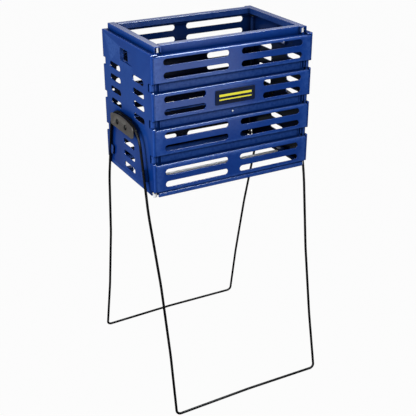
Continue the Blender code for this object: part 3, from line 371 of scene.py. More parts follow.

# %% Close shade: painted shade in the corners and on the strips that lie behind the bands
nook, given, result = shader_group(
    "Close shade", [("Reach", "value", 0.03), ("Darkest", "value", 0.5)], [("Mask", "value")])
open_air = make_node(nook, "ShaderNodeAmbientOcclusion", "open air", samples=12)
join(nook, (given.outputs["Reach"], open_air.inputs["Distance"]))
seen = range_node(nook, open_air.outputs["AO"], 0.5, 0.95)
lit = math_node(nook, "MULTIPLY", seen, math_node(nook, "SUBTRACT", 1.0, given.outputs["Darkest"]))
join(nook, (math_node(nook, "ADD", lit, given.outputs["Darkest"]), result.inputs["Mask"]))
print("made group:", nook.name)

# %% [markdown]
# ## Scuffs
# A basket is dragged along courts and knocked against balls, so its gloss has long faint scuffs. They
# could be scratches in the mesh, but they have no depth that shows. A stretched noise that only changes
# the roughness is enough.

# %% Handling marks: long faint scuffs in the gloss
marks, given, result = shader_group(
    "Handling marks", [("Vector", "vector", None), ("Scale", "value", 30.0)], [("Mask", "value")])
stretch = make_node(marks, "ShaderNodeMapping", "stretch")
stretch.inputs["Scale"].default_value = (1.0, 1.0, 9.0)
stretch.inputs["Rotation"].default_value = (0.25, 0.5, 0.15)
scuffs = make_node(marks, "ShaderNodeTexNoise", "scuffs", Detail=6.0, Roughness=0.75)
join(marks, (given.outputs["Vector"], stretch.inputs["Vector"]),
     (stretch.outputs["Vector"], scuffs.inputs["Vector"]),
     (given.outputs["Scale"], scuffs.inputs["Scale"]),
     (range_node(marks, scuffs.outputs["Fac"], 0.5, 0.72), result.inputs["Mask"]))
print("made group:", marks.name)

# %% [markdown]
# ## One recipe for all the finishes
# Every finish here is a thin skin over a plain material, so one recipe serves: a drifting colour, an edge
# colour over it that is partly wear and partly painted highlight, dust over that, a roughness that the
# grain and the scuffs disturb, and a bump.
# The values that stay the same all over a surface are set on the shader itself. The moulded plastic also
# gets painted shade inside the basket and in its corners. Its gloss must fade there too, so it lies in a
# clear coat, whose weight may change over the surface.


# %% Place a shared group in a material
def place_group(tree, group, vector=None, **values):
    """Put a shared group into a material with this finish's own values."""
    node = tree.nodes.new("ShaderNodeGroup")
    node.node_tree = group
    node.name = node.label = group.name
    for key, value in values.items():
        node.inputs[key].default_value = value
    if vector is not None:
        tree.links.new(vector, node.inputs["Vector"])
    return node


print("groups to place:", [group.name for group in bpy.data.node_groups])

# %% Make a finish from the groups
DUST_COLOUR, DUST_ROUGHNESS = (0.35, 0.36, 0.38, 1.0), 0.5
CORNER_DARKEST, GLOSS_FADE, COAT_ROUGHNESS = 0.35, 4.0, 0.21


def skin_finish(name, light, dark, worn_and_lit_colour, *, rough, rough_spread, grain_scale, grain_depth, wear_and_highlight_amount,
                dust_amount, drift_scale, metal=0.0, gloss=0.5, darkest=1.0):
    """A coated or moulded surface with grain, drift, edges partly worn and partly painted highlight, dust,
    handling marks and, where darkest is below 1, painted shade.
    """
    made = bpy.data.materials.new(name)
    made.use_nodes = True
    tree = made.node_tree
    shader = tree.nodes["Principled BSDF"]
    shader.inputs["Metallic"].default_value = metal
    shader.inputs["Specular IOR Level"].default_value = gloss
    place = make_node(tree, "ShaderNodeTexCoord", "place").outputs["Object"]
    colour = place_group(tree, drift, place, Scale=drift_scale, Light=light, Dark=dark)
    skin = place_group(tree, grain, place, Scale=grain_scale)
    worn_and_lit = place_group(tree, wear_and_highlight, place, Amount=wear_and_highlight_amount)
    settled = place_group(tree, dust, place, Amount=dust_amount)
    scuffed = place_group(tree, marks, place)

    # worn and lit edges: a lighter edge colour, partly wear and partly painted highlight
    edged = colour_mix(tree, "worn and lit edges", worn_and_lit.outputs["Mask"], colour.outputs["Color"], worn_and_lit_colour)
    dust_and_shade = colour_mix(tree, "dust_and_shade", settled.outputs["Mask"], edged, DUST_COLOUR)
    if darkest < 1.0:
        # painted shade: the inside and close masks darken the base colour towards black
        inside = place_group(tree, shade, place, Darkest=darkest)
        close = place_group(tree, nook, Darkest=CORNER_DARKEST)
        both_shades = math_node(tree, "MULTIPLY", inside.outputs["Mask"], close.outputs["Mask"])
        dust_and_shade = colour_mix(tree, "shaded", both_shades, BLACK, dust_and_shade)
        shader.inputs["Specular IOR Level"].default_value = 0.0
        shader.inputs["Coat Roughness"].default_value = COAT_ROUGHNESS
        open_share = math_node(tree, "POWER", close.outputs["Mask"], GLOSS_FADE)
        join(tree, (math_node(tree, "MULTIPLY", open_share, 2.0 * gloss), shader.inputs["Coat Weight"]))
    join(tree, (dust_and_shade, shader.inputs["Base Color"]))

    grainy = math_node(tree, "MULTIPLY", skin.outputs["Mask"], rough_spread)
    scuffy = math_node(tree, "MULTIPLY", scuffed.outputs["Mask"], rough_spread)
    dusty = math_node(tree, "MULTIPLY", settled.outputs["Mask"], DUST_ROUGHNESS)
    disturbed = math_node(tree, "ADD", grainy, scuffy)
    total = math_node(tree, "ADD", disturbed, math_node(tree, "ADD", dusty, rough))
    bump = make_node(tree, "ShaderNodeBump", "skin bump", Strength=1.0, Distance=grain_depth)
    join(tree, (total, shader.inputs["Roughness"]), (skin.outputs["Height"], bump.inputs["Height"]),
         (bump.outputs["Normal"], shader.inputs["Normal"]))
    return made


print("recipe ready")

# %% [markdown]
# ## The finishes of this basket
# The panels are a deep blue plastic, moulded through and satin from the tool. The wires and pins have a
# glossy black coating, the brackets a satin grey one. Rods are zinc painted darker, as painted shade, the
# short pieces that show are zinc painted pale, as painted highlight, and caps and spacers are black nylon.
# The plate is navy with yellow ink. Each could be a material of its own from nothing, but as values of one
# recipe they stay easy to compare.

# %% Mix the finishes
# darkest=0.06 paints shade into the blue inside the basket and in its corners
blue_plastic = skin_finish(
    "blue_plastic", paint(10, 56, 132), paint(6, 44, 118), paint(60, 96, 170), rough=0.20,
    rough_spread=0.06, grain_scale=1500.0, grain_depth=0.00003, wear_and_highlight_amount=0.45, dust_amount=0.05,
    drift_scale=9.0, darkest=0.06)
black_coating = skin_finish(
    "black_coating", paint(4, 4, 5), paint(2, 2, 3), paint(18, 18, 20), rough=0.30,
    rough_spread=0.10, grain_scale=700.0, grain_depth=0.00006, wear_and_highlight_amount=0.2, dust_amount=0.01,
    drift_scale=40.0, gloss=0.22)
grey_plate = skin_finish(
    "grey_plate", paint(84, 78, 75), paint(64, 60, 58), paint(130, 130, 126), rough=0.42,
    rough_spread=0.16, grain_scale=1100.0, grain_depth=0.00006, wear_and_highlight_amount=0.4, dust_amount=0.08,
    drift_scale=60.0, metal=0.35)
# two copies of one zinc: a darker one as painted shade for the rods, a near-white one as painted highlight
# for the pieces that show
zinc_painted_shade = skin_finish(
    "zinc_painted_shade", paint(74, 78, 92), paint(44, 48, 62), paint(150, 152, 158), rough=0.35,
    rough_spread=0.16, grain_scale=900.0, grain_depth=0.00003, wear_and_highlight_amount=0.3, dust_amount=0.04,
    drift_scale=220.0, metal=0.8)
zinc_painted_highlight = skin_finish(
    "zinc_painted_highlight", paint(240, 241, 243), paint(222, 224, 228), paint(250, 250, 252), rough=0.45,
    rough_spread=0.12, grain_scale=900.0, grain_depth=0.00003, wear_and_highlight_amount=0.2, dust_amount=0.02,
    drift_scale=120.0, metal=0.3)
black_nylon = skin_finish(
    "black_nylon", paint(20, 20, 21), paint(11, 11, 12), paint(55, 55, 58), rough=0.5,
    rough_spread=0.12, grain_scale=1300.0, grain_depth=0.00005, wear_and_highlight_amount=0.3, dust_amount=0.12,
    drift_scale=50.0)
navy_print = skin_finish(
    "navy_print", paint(9, 24, 56), paint(5, 15, 38), paint(30, 42, 76), rough=0.3,
    rough_spread=0.10, grain_scale=1600.0, grain_depth=0.00002, wear_and_highlight_amount=0.2, dust_amount=0.03,
    drift_scale=30.0, gloss=0.15)
yellow_print = skin_finish(
    "yellow_print", paint(244, 234, 24), paint(226, 214, 16), paint(246, 240, 110), rough=0.35,
    rough_spread=0.10, grain_scale=1600.0, grain_depth=0.00002, wear_and_highlight_amount=0.2, dust_amount=0.05,
    drift_scale=90.0)
print("finishes:", [made.name for made in bpy.data.materials])

# %% [markdown]
# ## Outlines with bent corners
# Sheet walls, slots and wires are all lines whose corners are bent to a radius. The corners could be
# bevelled after the mesh is made, but rounding the drawn line first keeps every bend at its true radius.

# %% Round the corners of a line
ARC_STEP = math.radians(12)


def rounded(corners, closed=False, step_angle=ARC_STEP):
    """Replace each corner of a line by an arc. Corners are (point, radius) pairs, in 2D or 3D."""
    made = []
    count = len(corners)
    for index, (point, radius) in enumerate(corners):
        here = Vector(point).to_3d()
        if radius <= 0 or (not closed and index in (0, count - 1)):
            made.append(here)
            continue
        back = (Vector(corners[index - 1][0]).to_3d() - here).normalized()
        ahead = (Vector(corners[(index + 1) % count][0]).to_3d() - here).normalized()
        turn = math.pi - back.angle(ahead)
        start = here + back * radius * math.tan(turn / 2)
        centre = here + (back + ahead).normalized() * radius / math.cos(turn / 2)
        spoke = start - centre
        axis = spoke.cross(-back).normalized()
        steps = max(1, round(turn / step_angle))
        for step in range(steps + 1):
            made.append(centre + Matrix.Rotation(turn * step / steps, 3, axis) @ spoke)
    return made


print("a quarter bend takes", round(math.pi / 2 / ARC_STEP), "steps")


# %% Give a bent line the thickness of a wall
def wall_outline(corners, thickness):
    """The closed outline of a bent wall: its outer line, then the line one thickness to its left."""
    def left_of(start, end):
        edge = (Vector(end) - Vector(start)).normalized()
        return Vector((-edge.y, edge.x))

    inner = []
    last = len(corners) - 1
    for index, (point, radius) in enumerate(corners):
        before = left_of(corners[index - 1][0], point) if index > 0 else None
        after = left_of(point, corners[index + 1][0]) if index < last else None
        first, second = before or after, after or before
        moved = Vector(point) + (first + second) * thickness / (1 + first.dot(second))
        turns_left = first.x * second.y - first.y * second.x > 0
        inner_radius = max(radius - thickness, 0.0) if turns_left else radius + thickness
        inner.append((tuple(moved), inner_radius if radius > 0 else 0.0))
    return rounded(corners) + list(reversed(rounded(inner)))


def drops(points):
    """Turn (across, height above the rim) points into (across, height above the floor)."""
    return [(point[0], point[1] + RIM_TOP) for point in points]


bent_strip = wall_outline([((0.0, 0.0), 0.0), ((0.0, -0.02), 0.004), ((0.02, -0.02), 0.0)], WALL)
print("a strip bent once has", len(bent_strip), "points around it")

# %% [markdown]
# ## Solids from outlines
# A moulded panel is one section pulled straight, then cut by slots and corners. A pulled solid could come
# from a curve with an extrude. Joining rings of points by hand gives pulled, flared and turned solids
# from the same few lines, and Boolean cuts then work on clean closed meshes.

# %% Join rings of points into closed solids
PLANES = {
    "XY": lambda a, b, w: (a, b, w),
    "YZ": lambda a, b, w: (w, a, b),
    "XZ": lambda a, b, w: (a, w, b),
}


def ring_solid(rings, looped=False):
    """Skin a row of equal rings. The ends are capped, unless the row closes on itself."""
    work = bmesh.new()
    rows = [[work.verts.new(point) for point in ring] for ring in rings]
    pairs = list(zip(rows, rows[1:])) + ([(rows[-1], rows[0])] if looped else [])
    for low, high in pairs:
        for index in range(len(low)):
            after = (index + 1) % len(low)
            work.faces.new((low[index], low[after], high[after], high[index]))
    if not looped:
        work.faces.new(rows[0])
        work.faces.new(rows[-1])
    bmesh.ops.recalc_face_normals(work, faces=work.faces)
    mesh = bpy.data.meshes.new("solid")
    work.to_mesh(mesh)
    work.free()
    return mesh


print("outlines may lie in", list(PLANES))

# %% Pull and turn outlines
ROUND_SIDES = 40


def pulled(outline, plane, low, high):
    """An outline pulled straight between two positions along its plane's normal."""
    place = PLANES[plane]
    return ring_solid([[place(point[0], point[1], level) for point in outline] for level in (low, high)])


def block(low, high):
    """A box between two corners."""
    outline = [(low[0], low[1]), (high[0], low[1]), (high[0], high[1]), (low[0], high[1])]
    return pulled(outline, "XY", low[2], high[2])


def circle(centre_a, centre_b, diameter):
    """A circle as an outline of many short sides."""
    return [(centre_a + diameter / 2 * math.cos(2 * math.pi * side / ROUND_SIDES),
             centre_b + diameter / 2 * math.sin(2 * math.pi * side / ROUND_SIDES))
            for side in range(ROUND_SIDES)]


def turned(profile, looped=False):
    """A turned solid about Z from (radius, height) points; a looped profile makes a ring."""
    return ring_solid([[(*point, height) for point in circle(0.0, 0.0, 2 * radius)]
                       for radius, height in profile], looped)


print("a plain bar has", len(turned([(0.003, 0.0), (0.003, 0.1)]).polygons), "faces")


# %% Reflect and gather solids
def gathered(meshes):
    """Several separate solids in one mesh."""
    work = bmesh.new()
    for mesh in meshes:
        work.from_mesh(mesh)
    made = bpy.data.meshes.new("gathered")
    work.to_mesh(made)
    work.free()
    return made


def mirrored(mesh, axis):
    """A mesh reflected across the middle plane of X (0) or Y (1)."""
    made = mesh.copy()
    scale = Vector((1.0, 1.0, 1.0))
    scale[axis] = -1.0
    made.transform(Matrix.Diagonal(scale).to_4x4())
    made.flip_normals()
    return made


def both(mesh, axis):
    """A mesh and its reflection."""
    return [mesh, mirrored(mesh, axis)]


print("a block and its reflection:", len(both(block((1, 1, 1), (2, 2, 2)), 0)), "solids")


# %% Cut and join solids
def combined(mesh, tools, operation):
    """A Boolean of a mesh with several tools at once."""
    base = bpy.data.objects.new("base", mesh)
    other = bpy.data.objects.new("tools", gathered(tools))
    for item in (base, other):
        bpy.context.scene.collection.objects.link(item)
    step = base.modifiers.new("shape", "BOOLEAN")
    step.operation = operation
    step.solver = "EXACT"
    step.object = other
    bpy.context.view_layer.update()
    graph = bpy.context.evaluated_depsgraph_get()
    made = bpy.data.meshes.new_from_object(base.evaluated_get(graph))
    for item in (base, other):
        bpy.data.objects.remove(item, do_unlink=True)
    work = bmesh.new()
    work.from_mesh(made)
    bmesh.ops.remove_doubles(work, verts=work.verts, dist=1e-6)
    work.to_mesh(made)
    work.free()
    return made


trial = combined(block((0, 0, 0), (1, 1, 1)), [block((0.5, 0.5, 0.5), (2, 2, 2))], "DIFFERENCE")
print("a block with one corner cut has", len(trial.polygons), "faces")


# %% Flare the mouths of a slot
def flared_slot(centre_a, centre_b, length, height, plane, outer, inner, lip=SLOT_LIP):
    """A cutter for a slot with round ends, whose two mouths open in a small quarter round."""
    inward = 1.0 if inner > outer else -1.0
    quarter = [math.radians(angle) for angle in (0, 30, 60, 90)]
    levels = [(outer - inward * lip, lip)]
    levels += [(outer + inward * lip * (1 - math.cos(angle)), lip * (1 - math.sin(angle)))
               for angle in quarter]
    levels += [(inner - inward * lip * (1 - math.cos(angle)), lip * (1 - math.sin(angle)))
               for angle in reversed(quarter)]
    levels.append((inner + inward * lip, lip))
    half_run = max((length - height) / 2, 0.0)
    rings = []
    for level, grow in levels:
        radius = height / 2 + grow
        ring = []
        for side, start in ((1, -90), (-1, 90)):
            for step in range(17):
                angle = math.radians(start + 180 * step / 16)
                ring.append(PLANES[plane](centre_a + side * half_run + radius * math.cos(angle),
                                          centre_b + radius * math.sin(angle), level))
        rings.append(ring)
    return ring_solid(rings)


print("a slot cutter has", len(flared_slot(0, 0, 0.1, 0.016, "XZ", 0.0, 0.003).vertices), "points")

# %% [markdown]
# ## Showing a piece
# Every finished mesh needs the same last steps: its finish, smooth shading that stays sharp at real
# edges, sometimes a small bevel, and a body to ride on. They could be written out for each piece. One
# function makes sure that none is left out.

# %% Show a finished piece
SHARP_ANGLE, BEVEL_ANGLE = math.radians(34), math.radians(50)


def show(name, mesh, finish, body, stands_for, edge_round=0.0):
    """Put a piece in the scene with its finish, its body and the frame pieces that it stands for."""
    mesh.materials.clear()
    mesh.materials.append(finish)
    mesh.shade_smooth()
    mesh.set_sharp_from_angle(angle=SHARP_ANGLE)
    item = bpy.data.objects.new(name, mesh)
    bpy.context.scene.collection.objects.link(item)
    if edge_round > 0:
        soften = item.modifiers.new("soft edges", "BEVEL")
        soften.width = edge_round
        soften.segments = 2
        soften.limit_method = "ANGLE"
        soften.angle_limit = BEVEL_ANGLE
        soften.use_clamp_overlap = False
        soften.harden_normals = True
    even = item.modifiers.new("even shading", "WEIGHTED_NORMAL")
    even.keep_sharp = True
    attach(item, body)
    if stands_for:
        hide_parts(*stands_for)
    return item


print("ready to show pieces")

# %% [markdown]
# ## The front and back panels
# The front is one moulding: a rim strip folded over at the top, four raised bands that step out over
# the wall, a lip at the foot and a narrow ledge that turns in under the balls. It could be modelled band
# by band, but the real tool pulls one section along the whole width, so the section is drawn once.

# %% Draw the front section
BAND_TOP_ROUND, BAND_FOOT_ROUND = 0.004, 0.002
GROOVE_DEPTH, LIP_INSET, LIP_SLOPE, LIP_ROUND = 0.003, 0.0002, 0.0024, 0.0010


def front_section():
    """The front wall cut from side to side: Y and height."""
    corners = [((-FRONT_RIM_IN, -RIM_SKIRT), 0.0), ((-FRONT_RIM_IN, 0.0), RIM_INNER_ROUND),
               ((-FRONT_RIM_OUT, 0.0), RIM_OUTER_ROUND)]
    wall_y = -FRONT_RIM_OUT
    for top, foot in band_drops:
        corners += [((wall_y, -top), 0.0), ((-FRONT_FACE, -top), BAND_TOP_ROUND),
                    ((-FRONT_FACE, -foot), BAND_FOOT_ROUND)]
        wall_y = -RECESS_FACE
        corners.append(((wall_y, -foot), 0.0))
    groove = -(FRONT_FACE - GROOVE_DEPTH)
    lip_face = -(FRONT_FACE - LIP_INSET)
    lip_top = -(HEIGHT - LIP_HEIGHT)
    corners[-1] = ((groove, corners[-1][0][1]), 0.0)
    corners += [((groove, lip_top), 0.0), ((lip_face, lip_top - LIP_SLOPE), LIP_ROUND),
                ((lip_face, -HEIGHT), BASE_ROUND), ((-BASE_EDGE_Y, -HEIGHT), 0.0)]
    return drops(wall_outline(corners, WALL))


front_wall = pulled(front_section(), "YZ", -BAND_END + FIT, BAND_END - FIT)
print("front section has", len(front_wall.vertices) // 2, "points")

# %% [markdown]
# ## The slots of the front
# Long slots with round ends keep the basket light and let dust fall out. The second band has shorter
# ones, because its middle carries the plate. They could be drawn into the section's faces, but the
# moulded mouths are slightly rounded, so cutters with flared ends are used.

# %% Cut the slots, two in a row and two rows to a band
SLOT_OUTER_END, SLOT_INNER_END, SLOT_LABEL_END = 0.1605, 0.0144, 0.0675
SLOT_MIDDLE_DROP, LOW_BAND_SHIFT = 0.0268, 0.004
slot_tools = []
for band, (top, _) in enumerate(band_drops):
    near = SLOT_LABEL_END if band == 1 else SLOT_INNER_END
    shift = LOW_BAND_SHIFT if band == 3 else 0.0
    for row in (-0.5, 0.5):
        level = RIM_TOP - (top + SLOT_MIDDLE_DROP + shift + row * SLOT_PITCH)
        for side in (-1, 1):
            slot_tools.append(flared_slot(side * (SLOT_OUTER_END + near) / 2, level, SLOT_OUTER_END - near,
                                          SLOT_HEIGHT, "XZ", -FRONT_FACE, -FRONT_FACE + WALL))
front_wall = combined(front_wall, slot_tools, "DIFFERENCE")
print("slots cut:", len(slot_tools))

# %% [markdown]
# ## The front's corners
# At both ends the wall is cut back to make room for the side panel. Between the bands a rib, a web and a
# knuckle reach out to the corner rod. Strips below each knuckle and a web at the foot close the corner,
# so that no light shows through it. The pieces could be separate meshes, but the moulding is one piece,
# so they are joined to it.

# %% Build a knuckle
WEB_REACH, STRIP_DROP = 0.010, 0.014


def upright(diameter, low, high, x, y):
    """An upright round solid between two heights above the rim (which are negative)."""
    return pulled(circle(x, y, diameter), "XY", low + RIM_TOP, high + RIM_TOP)


def front_knuckle(top, foot):
    """A knuckle of the front panel, its web and the strips that join it to the wall."""
    low, high = RIM_TOP - foot + KNUCKLE_GAP, RIM_TOP - top - KNUCKLE_GAP
    web_back = ROD_Y - KNUCKLE_DIAMETER / 3
    strip_start = SIDE_FACE - CORNER_CUT + 2 * CORNER_RIB
    rod_side = ROD_X - ROD_DIAMETER / 2
    return [
        upright(KNUCKLE_DIAMETER, -foot + KNUCKLE_GAP, -top - KNUCKLE_GAP, ROD_X, -ROD_Y),
        block((strip_start - WEB_REACH, -web_back - WALL, low), (rod_side, -web_back, high)),
        block((strip_start, -RECESS_FACE, low), (rod_side, -web_back - WALL / 2, high)),
        block((strip_start - WEB_REACH, -web_back - WALL, low - STRIP_DROP),
              (ROD_X - KNUCKLE_DIAMETER / 2 - FIT, -web_back, low + WALL)),
    ]


print("a knuckle is built from", len(front_knuckle(*notch_drops[0])), "solids")

# %% Cut the corners back, then add ribs, knuckles and pin seats
LIP_END, PIN_SEAT, PIN_SEAT_HEIGHT = 0.0108, 0.0085, 0.0045
FOOT_WEB_START, FOOT_WEB_FRONT, FOOT_WEB_BACK, FOOT_WEB_RISE = 0.1625, 0.1097, 0.1067, 0.004
rim_end = block((SIDE_RIM_IN - FIT, -FRONT_FACE - WALL, RIM_TOP - BAND_TOP + FIT / 2),
                (SIDE_FACE, -FRONT_RIM_IN + WALL, RIM_TOP + WALL))
corner_room = block((SIDE_FACE - CORNER_CUT, -(FRONT_FACE - EDGE_LAND), RIM_TOP - HEIGHT - WALL),
                    (SIDE_FACE, -BASE_EDGE_Y + WALL, RIM_TOP - BAND_TOP - WALL))
lip_end = block((SIDE_FACE - LIP_END, -FRONT_FACE - WALL, RIM_TOP - HEIGHT - WALL),
                (SIDE_FACE, -BASE_EDGE_Y + WALL, RIM_TOP - HEIGHT + LIP_HEIGHT))
for cut in (rim_end, corner_room, lip_end):
    front_wall = combined(front_wall, both(cut, 0), "DIFFERENCE")
for top, foot in notch_drops:
    rib = block((SIDE_FACE - CORNER_CUT - CORNER_RIB, -RECESS_FACE - CORNER_RIB / 2, RIM_TOP - foot - FIT),
                (SIDE_FACE - CORNER_CUT - FIT, -RECESS_FACE + WALL / 2, RIM_TOP - top + FIT))
    for solid in [rib] + front_knuckle(top, foot):
        front_wall = combined(front_wall, both(solid, 0), "UNION")
foot_web = block((FOOT_WEB_START, -FOOT_WEB_FRONT, RIM_TOP - HEIGHT + FIT),
                 (ROD_X - KNUCKLE_DIAMETER / 2 - FIT, -FOOT_WEB_BACK, RIM_TOP - LOBE_FOOT + FOOT_WEB_RISE))
seat = upright(PIN_SEAT, -BAND_TOP - WALL / 2, -BAND_TOP + PIN_SEAT_HEIGHT, RIM_PIN_X, -ROD_Y)
for solid in (foot_web, seat):
    front_wall = combined(front_wall, both(solid, 0), "UNION")
bores = both(upright(ROD_DIAMETER + 2 * FIT, -HEIGHT, -BAND_TOP - WALL, ROD_X, -ROD_Y), 0)
bores += both(upright(RIM_PIN_DIAMETER + 2 * FIT, -BAND_TOP, 0.0, RIM_PIN_X, -ROD_Y), 0)
front_wall = combined(front_wall, bores, "DIFFERENCE")
print("front panel faces:", len(front_wall.polygons))

# %% Hang the front panel and turn a copy for the back
HALF_TURN = Matrix.Rotation(math.pi, 4, "Z")
back_wall = front_wall.copy()
back_wall.transform(HALF_TURN)
show("front_shell", front_wall, blue_plastic, "basket", ["front_panel"])
show("back_shell", back_wall, blue_plastic, "basket", ["back_panel"])
print("front and back are", round(RIM_TOP - HEIGHT, 3), "to", RIM_TOP, "m above the floor")

# %% [markdown]
# ## The side panels
# Each side is flat, with a stepped-in rim, round lobes down both edges that lock between the front's
# bands, and knuckles behind them for the corner rods. The outline could be drawn as a flat sheet and
# bent, but cutting the folded section with the outline seen from the side gives the true overlap.

# %% Draw the side section and its outline
SIDE_RIM_END, SIDE_LEDGE_DROP, SIDE_LEDGE_ROUND, RIM_END_ROUND = 0.0095, 0.0125, 0.003, 0.001
LOBE_ROUND, NOTCH_DEPTH, BASE_NOTCH_DEPTH = 0.0045, 0.017, 0.016


def side_section():
    """The right wall cut from front to back: X and height."""
    corners = [((BASE_EDGE_X, -HEIGHT), 0.0), ((SIDE_FACE, -HEIGHT), BASE_ROUND),
               ((SIDE_FACE, -SIDE_LEDGE_DROP), SIDE_LEDGE_ROUND), ((SIDE_RIM_OUT, -SIDE_LEDGE_DROP), 0.0),
               ((SIDE_RIM_OUT, 0.0), RIM_OUTER_ROUND), ((SIDE_RIM_IN, 0.0), RIM_INNER_ROUND),
               ((SIDE_RIM_IN, -RIM_SKIRT), 0.0)]
    return drops(wall_outline(corners, WALL))


def side_outline():
    """The right wall seen from the side: rim, lobes and notches."""
    rim_end_y, ledge = FRONT_FACE - SIDE_RIM_END, -SIDE_LEDGE_DROP - FIT
    notch_y, foot_y = FRONT_FACE - NOTCH_DEPTH, FRONT_FACE - BASE_NOTCH_DEPTH
    half = [((rim_end_y, FIT), RIM_END_ROUND), ((rim_end_y, ledge), 0.0),
            ((FRONT_FACE, ledge), LOBE_ROUND)]
    for top, foot in notch_drops:
        half += [((FRONT_FACE, -top), LOBE_ROUND), ((notch_y, -top), 0.0),
                 ((notch_y, -foot), 0.0), ((FRONT_FACE, -foot), LOBE_ROUND)]
    half += [((FRONT_FACE, -LOBE_FOOT), LOBE_ROUND), ((foot_y, -LOBE_FOOT), 0.0),
             ((foot_y, -HEIGHT - FIT), 0.0)]
    other = [((-point[0], point[1]), radius) for point, radius in reversed(half)]
    return drops(rounded(half + other, closed=True))


side_wall = pulled(side_section(), "XZ", -FRONT_FACE - WALL / 2, FRONT_FACE + WALL / 2)
print("side outline has", len(side_outline()), "points")

# %% [markdown]
# ## The slots, edges and lobes of the side
# The side's short slots stand in two columns above the bracket and in one below it. All could be cut in
# one go, but the solver is surer with one tool at a time. The upright edges are thicker than the wall
# and rounded, as a moulding must be where hands reach it, and every lobe ends in a quarter round.

# %% Cut the side slots one at a time, the low row first
SIDE_SLOT_LENGTH, SIDE_SLOT_CENTRE, SIDE_SLOT_DROP = 0.0526, 0.0571, 0.079
LOW_SLOT_LENGTH, LOW_SLOT_RISE = 0.0546, 0.0242
places = [(0.0, RIM_TOP - HEIGHT + LOW_SLOT_RISE + row * SLOT_PITCH, LOW_SLOT_LENGTH) for row in (2, 1, 0)]
places += [(side * SIDE_SLOT_CENTRE, RIM_TOP - SIDE_SLOT_DROP - row * SLOT_PITCH, SIDE_SLOT_LENGTH)
           for row in (3, 2, 1, 0) for side in (1, -1)]
for along, level, length in places:
    tool = flared_slot(along, level, length, SLOT_HEIGHT, "YZ", SIDE_FACE, SIDE_FACE - WALL)
    side_wall = combined(side_wall, [tool], "DIFFERENCE")
print("side slots cut:", len(places))

# %% Cut the wall to its outline
edge_rib = block((SIDE_FACE - EDGE_LAND, FRONT_FACE - EDGE_LAND, RIM_TOP - HEIGHT + WALL / 2),
                 (SIDE_FACE - WALL / 2, FRONT_FACE + WALL, RIM_TOP - SIDE_LEDGE_DROP - WALL / 2))
side_wall = combined(side_wall, both(edge_rib, 1), "UNION")
seen_from_side = pulled(side_outline(), "YZ", SIDE_RIM_IN - WALL, SIDE_FACE + WALL)
side_wall = combined(side_wall, [seen_from_side], "INTERSECT")
print("side panel is", round(2 * FRONT_FACE, 3), "m deep")

# %% Round the upright edges and trim the foot
EDGE_ROUND = 0.004
edge_line = rounded([
    ((SIDE_FACE, FRONT_FACE - 2 * EDGE_ROUND), 0.0), ((SIDE_FACE, FRONT_FACE), EDGE_ROUND),
    ((SIDE_FACE - EDGE_ROUND, FRONT_FACE), 0.0), ((SIDE_FACE - EDGE_ROUND, FRONT_FACE + WALL), 0.0),
    ((SIDE_FACE + WALL, FRONT_FACE + WALL), 0.0), ((SIDE_FACE + WALL, FRONT_FACE - 2 * EDGE_ROUND), 0.0),
], closed=True)[1:]
edge_cut = pulled(edge_line, "XY", RIM_TOP - HEIGHT - WALL, RIM_TOP)
side_wall = combined(side_wall, both(edge_cut, 1), "DIFFERENCE")
for inner_x, outer_y in ((SIDE_FACE - WALL + FIT / 2, FRONT_FACE - EDGE_LAND),
                         (SIDE_FACE - EDGE_LAND, FRONT_FACE + WALL)):
    ledge_end = block((BASE_EDGE_X - WALL, BASE_EDGE_Y - FIT, RIM_TOP - HEIGHT - WALL),
                      (inner_x, outer_y, RIM_TOP - HEIGHT + 2 * WALL))
    side_wall = combined(side_wall, both(ledge_end, 1), "DIFFERENCE")
print("side panel faces so far:", len(side_wall.polygons))

# %% Round the tops and feet of the lobes
LOBE_EDGE = 0.0025


def lobe_rounder(drop, inward):
    """A cutter that rounds a lobe's outer edge at a drop; the lobe lies below it (-1) or above it (1)."""
    centre_x, centre_z = SIDE_FACE - LOBE_EDGE, -drop + inward * LOBE_EDGE
    line = [(centre_x + LOBE_EDGE * math.cos(math.radians(15 * step)),
             centre_z - inward * LOBE_EDGE * math.sin(math.radians(15 * step))) for step in range(7)]
    line += [(centre_x, -drop - inward * FIT), (SIDE_FACE + WALL, -drop - inward * FIT),
             (SIDE_FACE + WALL, centre_z)]
    return pulled(drops(line), "XZ", FRONT_FACE - BASE_NOTCH_DEPTH, FRONT_FACE + WALL)


rounders = [lobe_rounder(foot, -1) for _, foot in notch_drops]
rounders += [lobe_rounder(drop, 1) for drop in [top for top, _ in notch_drops] + [LOBE_FOOT]]
for rounder in rounders:
    side_wall = combined(side_wall, both(rounder, 1), "DIFFERENCE")
print("lobe ends rounded:", len(rounders))

# %% [markdown]
# ## Where the legs meet the sides
# A leg's wire leans against a small clip on the side panel, so it can't spread further. The clip's slope
# must match the wire. It could be set by eye, but working it out from the leg's own line keeps them in
# touch. Both legs are the same wire turned half round: each lies in the outer of two planes on its own
# left side and in the inner one on its right, so the two pass each other.

# %% Follow the leg's line
SHOULDER_REACH, FOOT_REACH, CRANK_RISE = 0.0735, 0.204, 0.015
CLIP_LOW, CLIP_HIGH, CLIP_WIDTH, CLIP_ROUND = 0.027, 0.048, 0.012, 0.002


def leg_line(drop):
    """How far a leg's wire is from the basket's middle at a drop below the rim."""
    shoulder = PIVOT_DROP - CRANK_RISE
    share = (drop - shoulder) / (RIM_TOP - WIRE_RADIUS - shoulder)
    return SHOULDER_REACH + share * (FOOT_REACH - SHOULDER_REACH)


leg_lean = math.atan2(leg_line(1.0) - leg_line(0.0), 1.0)


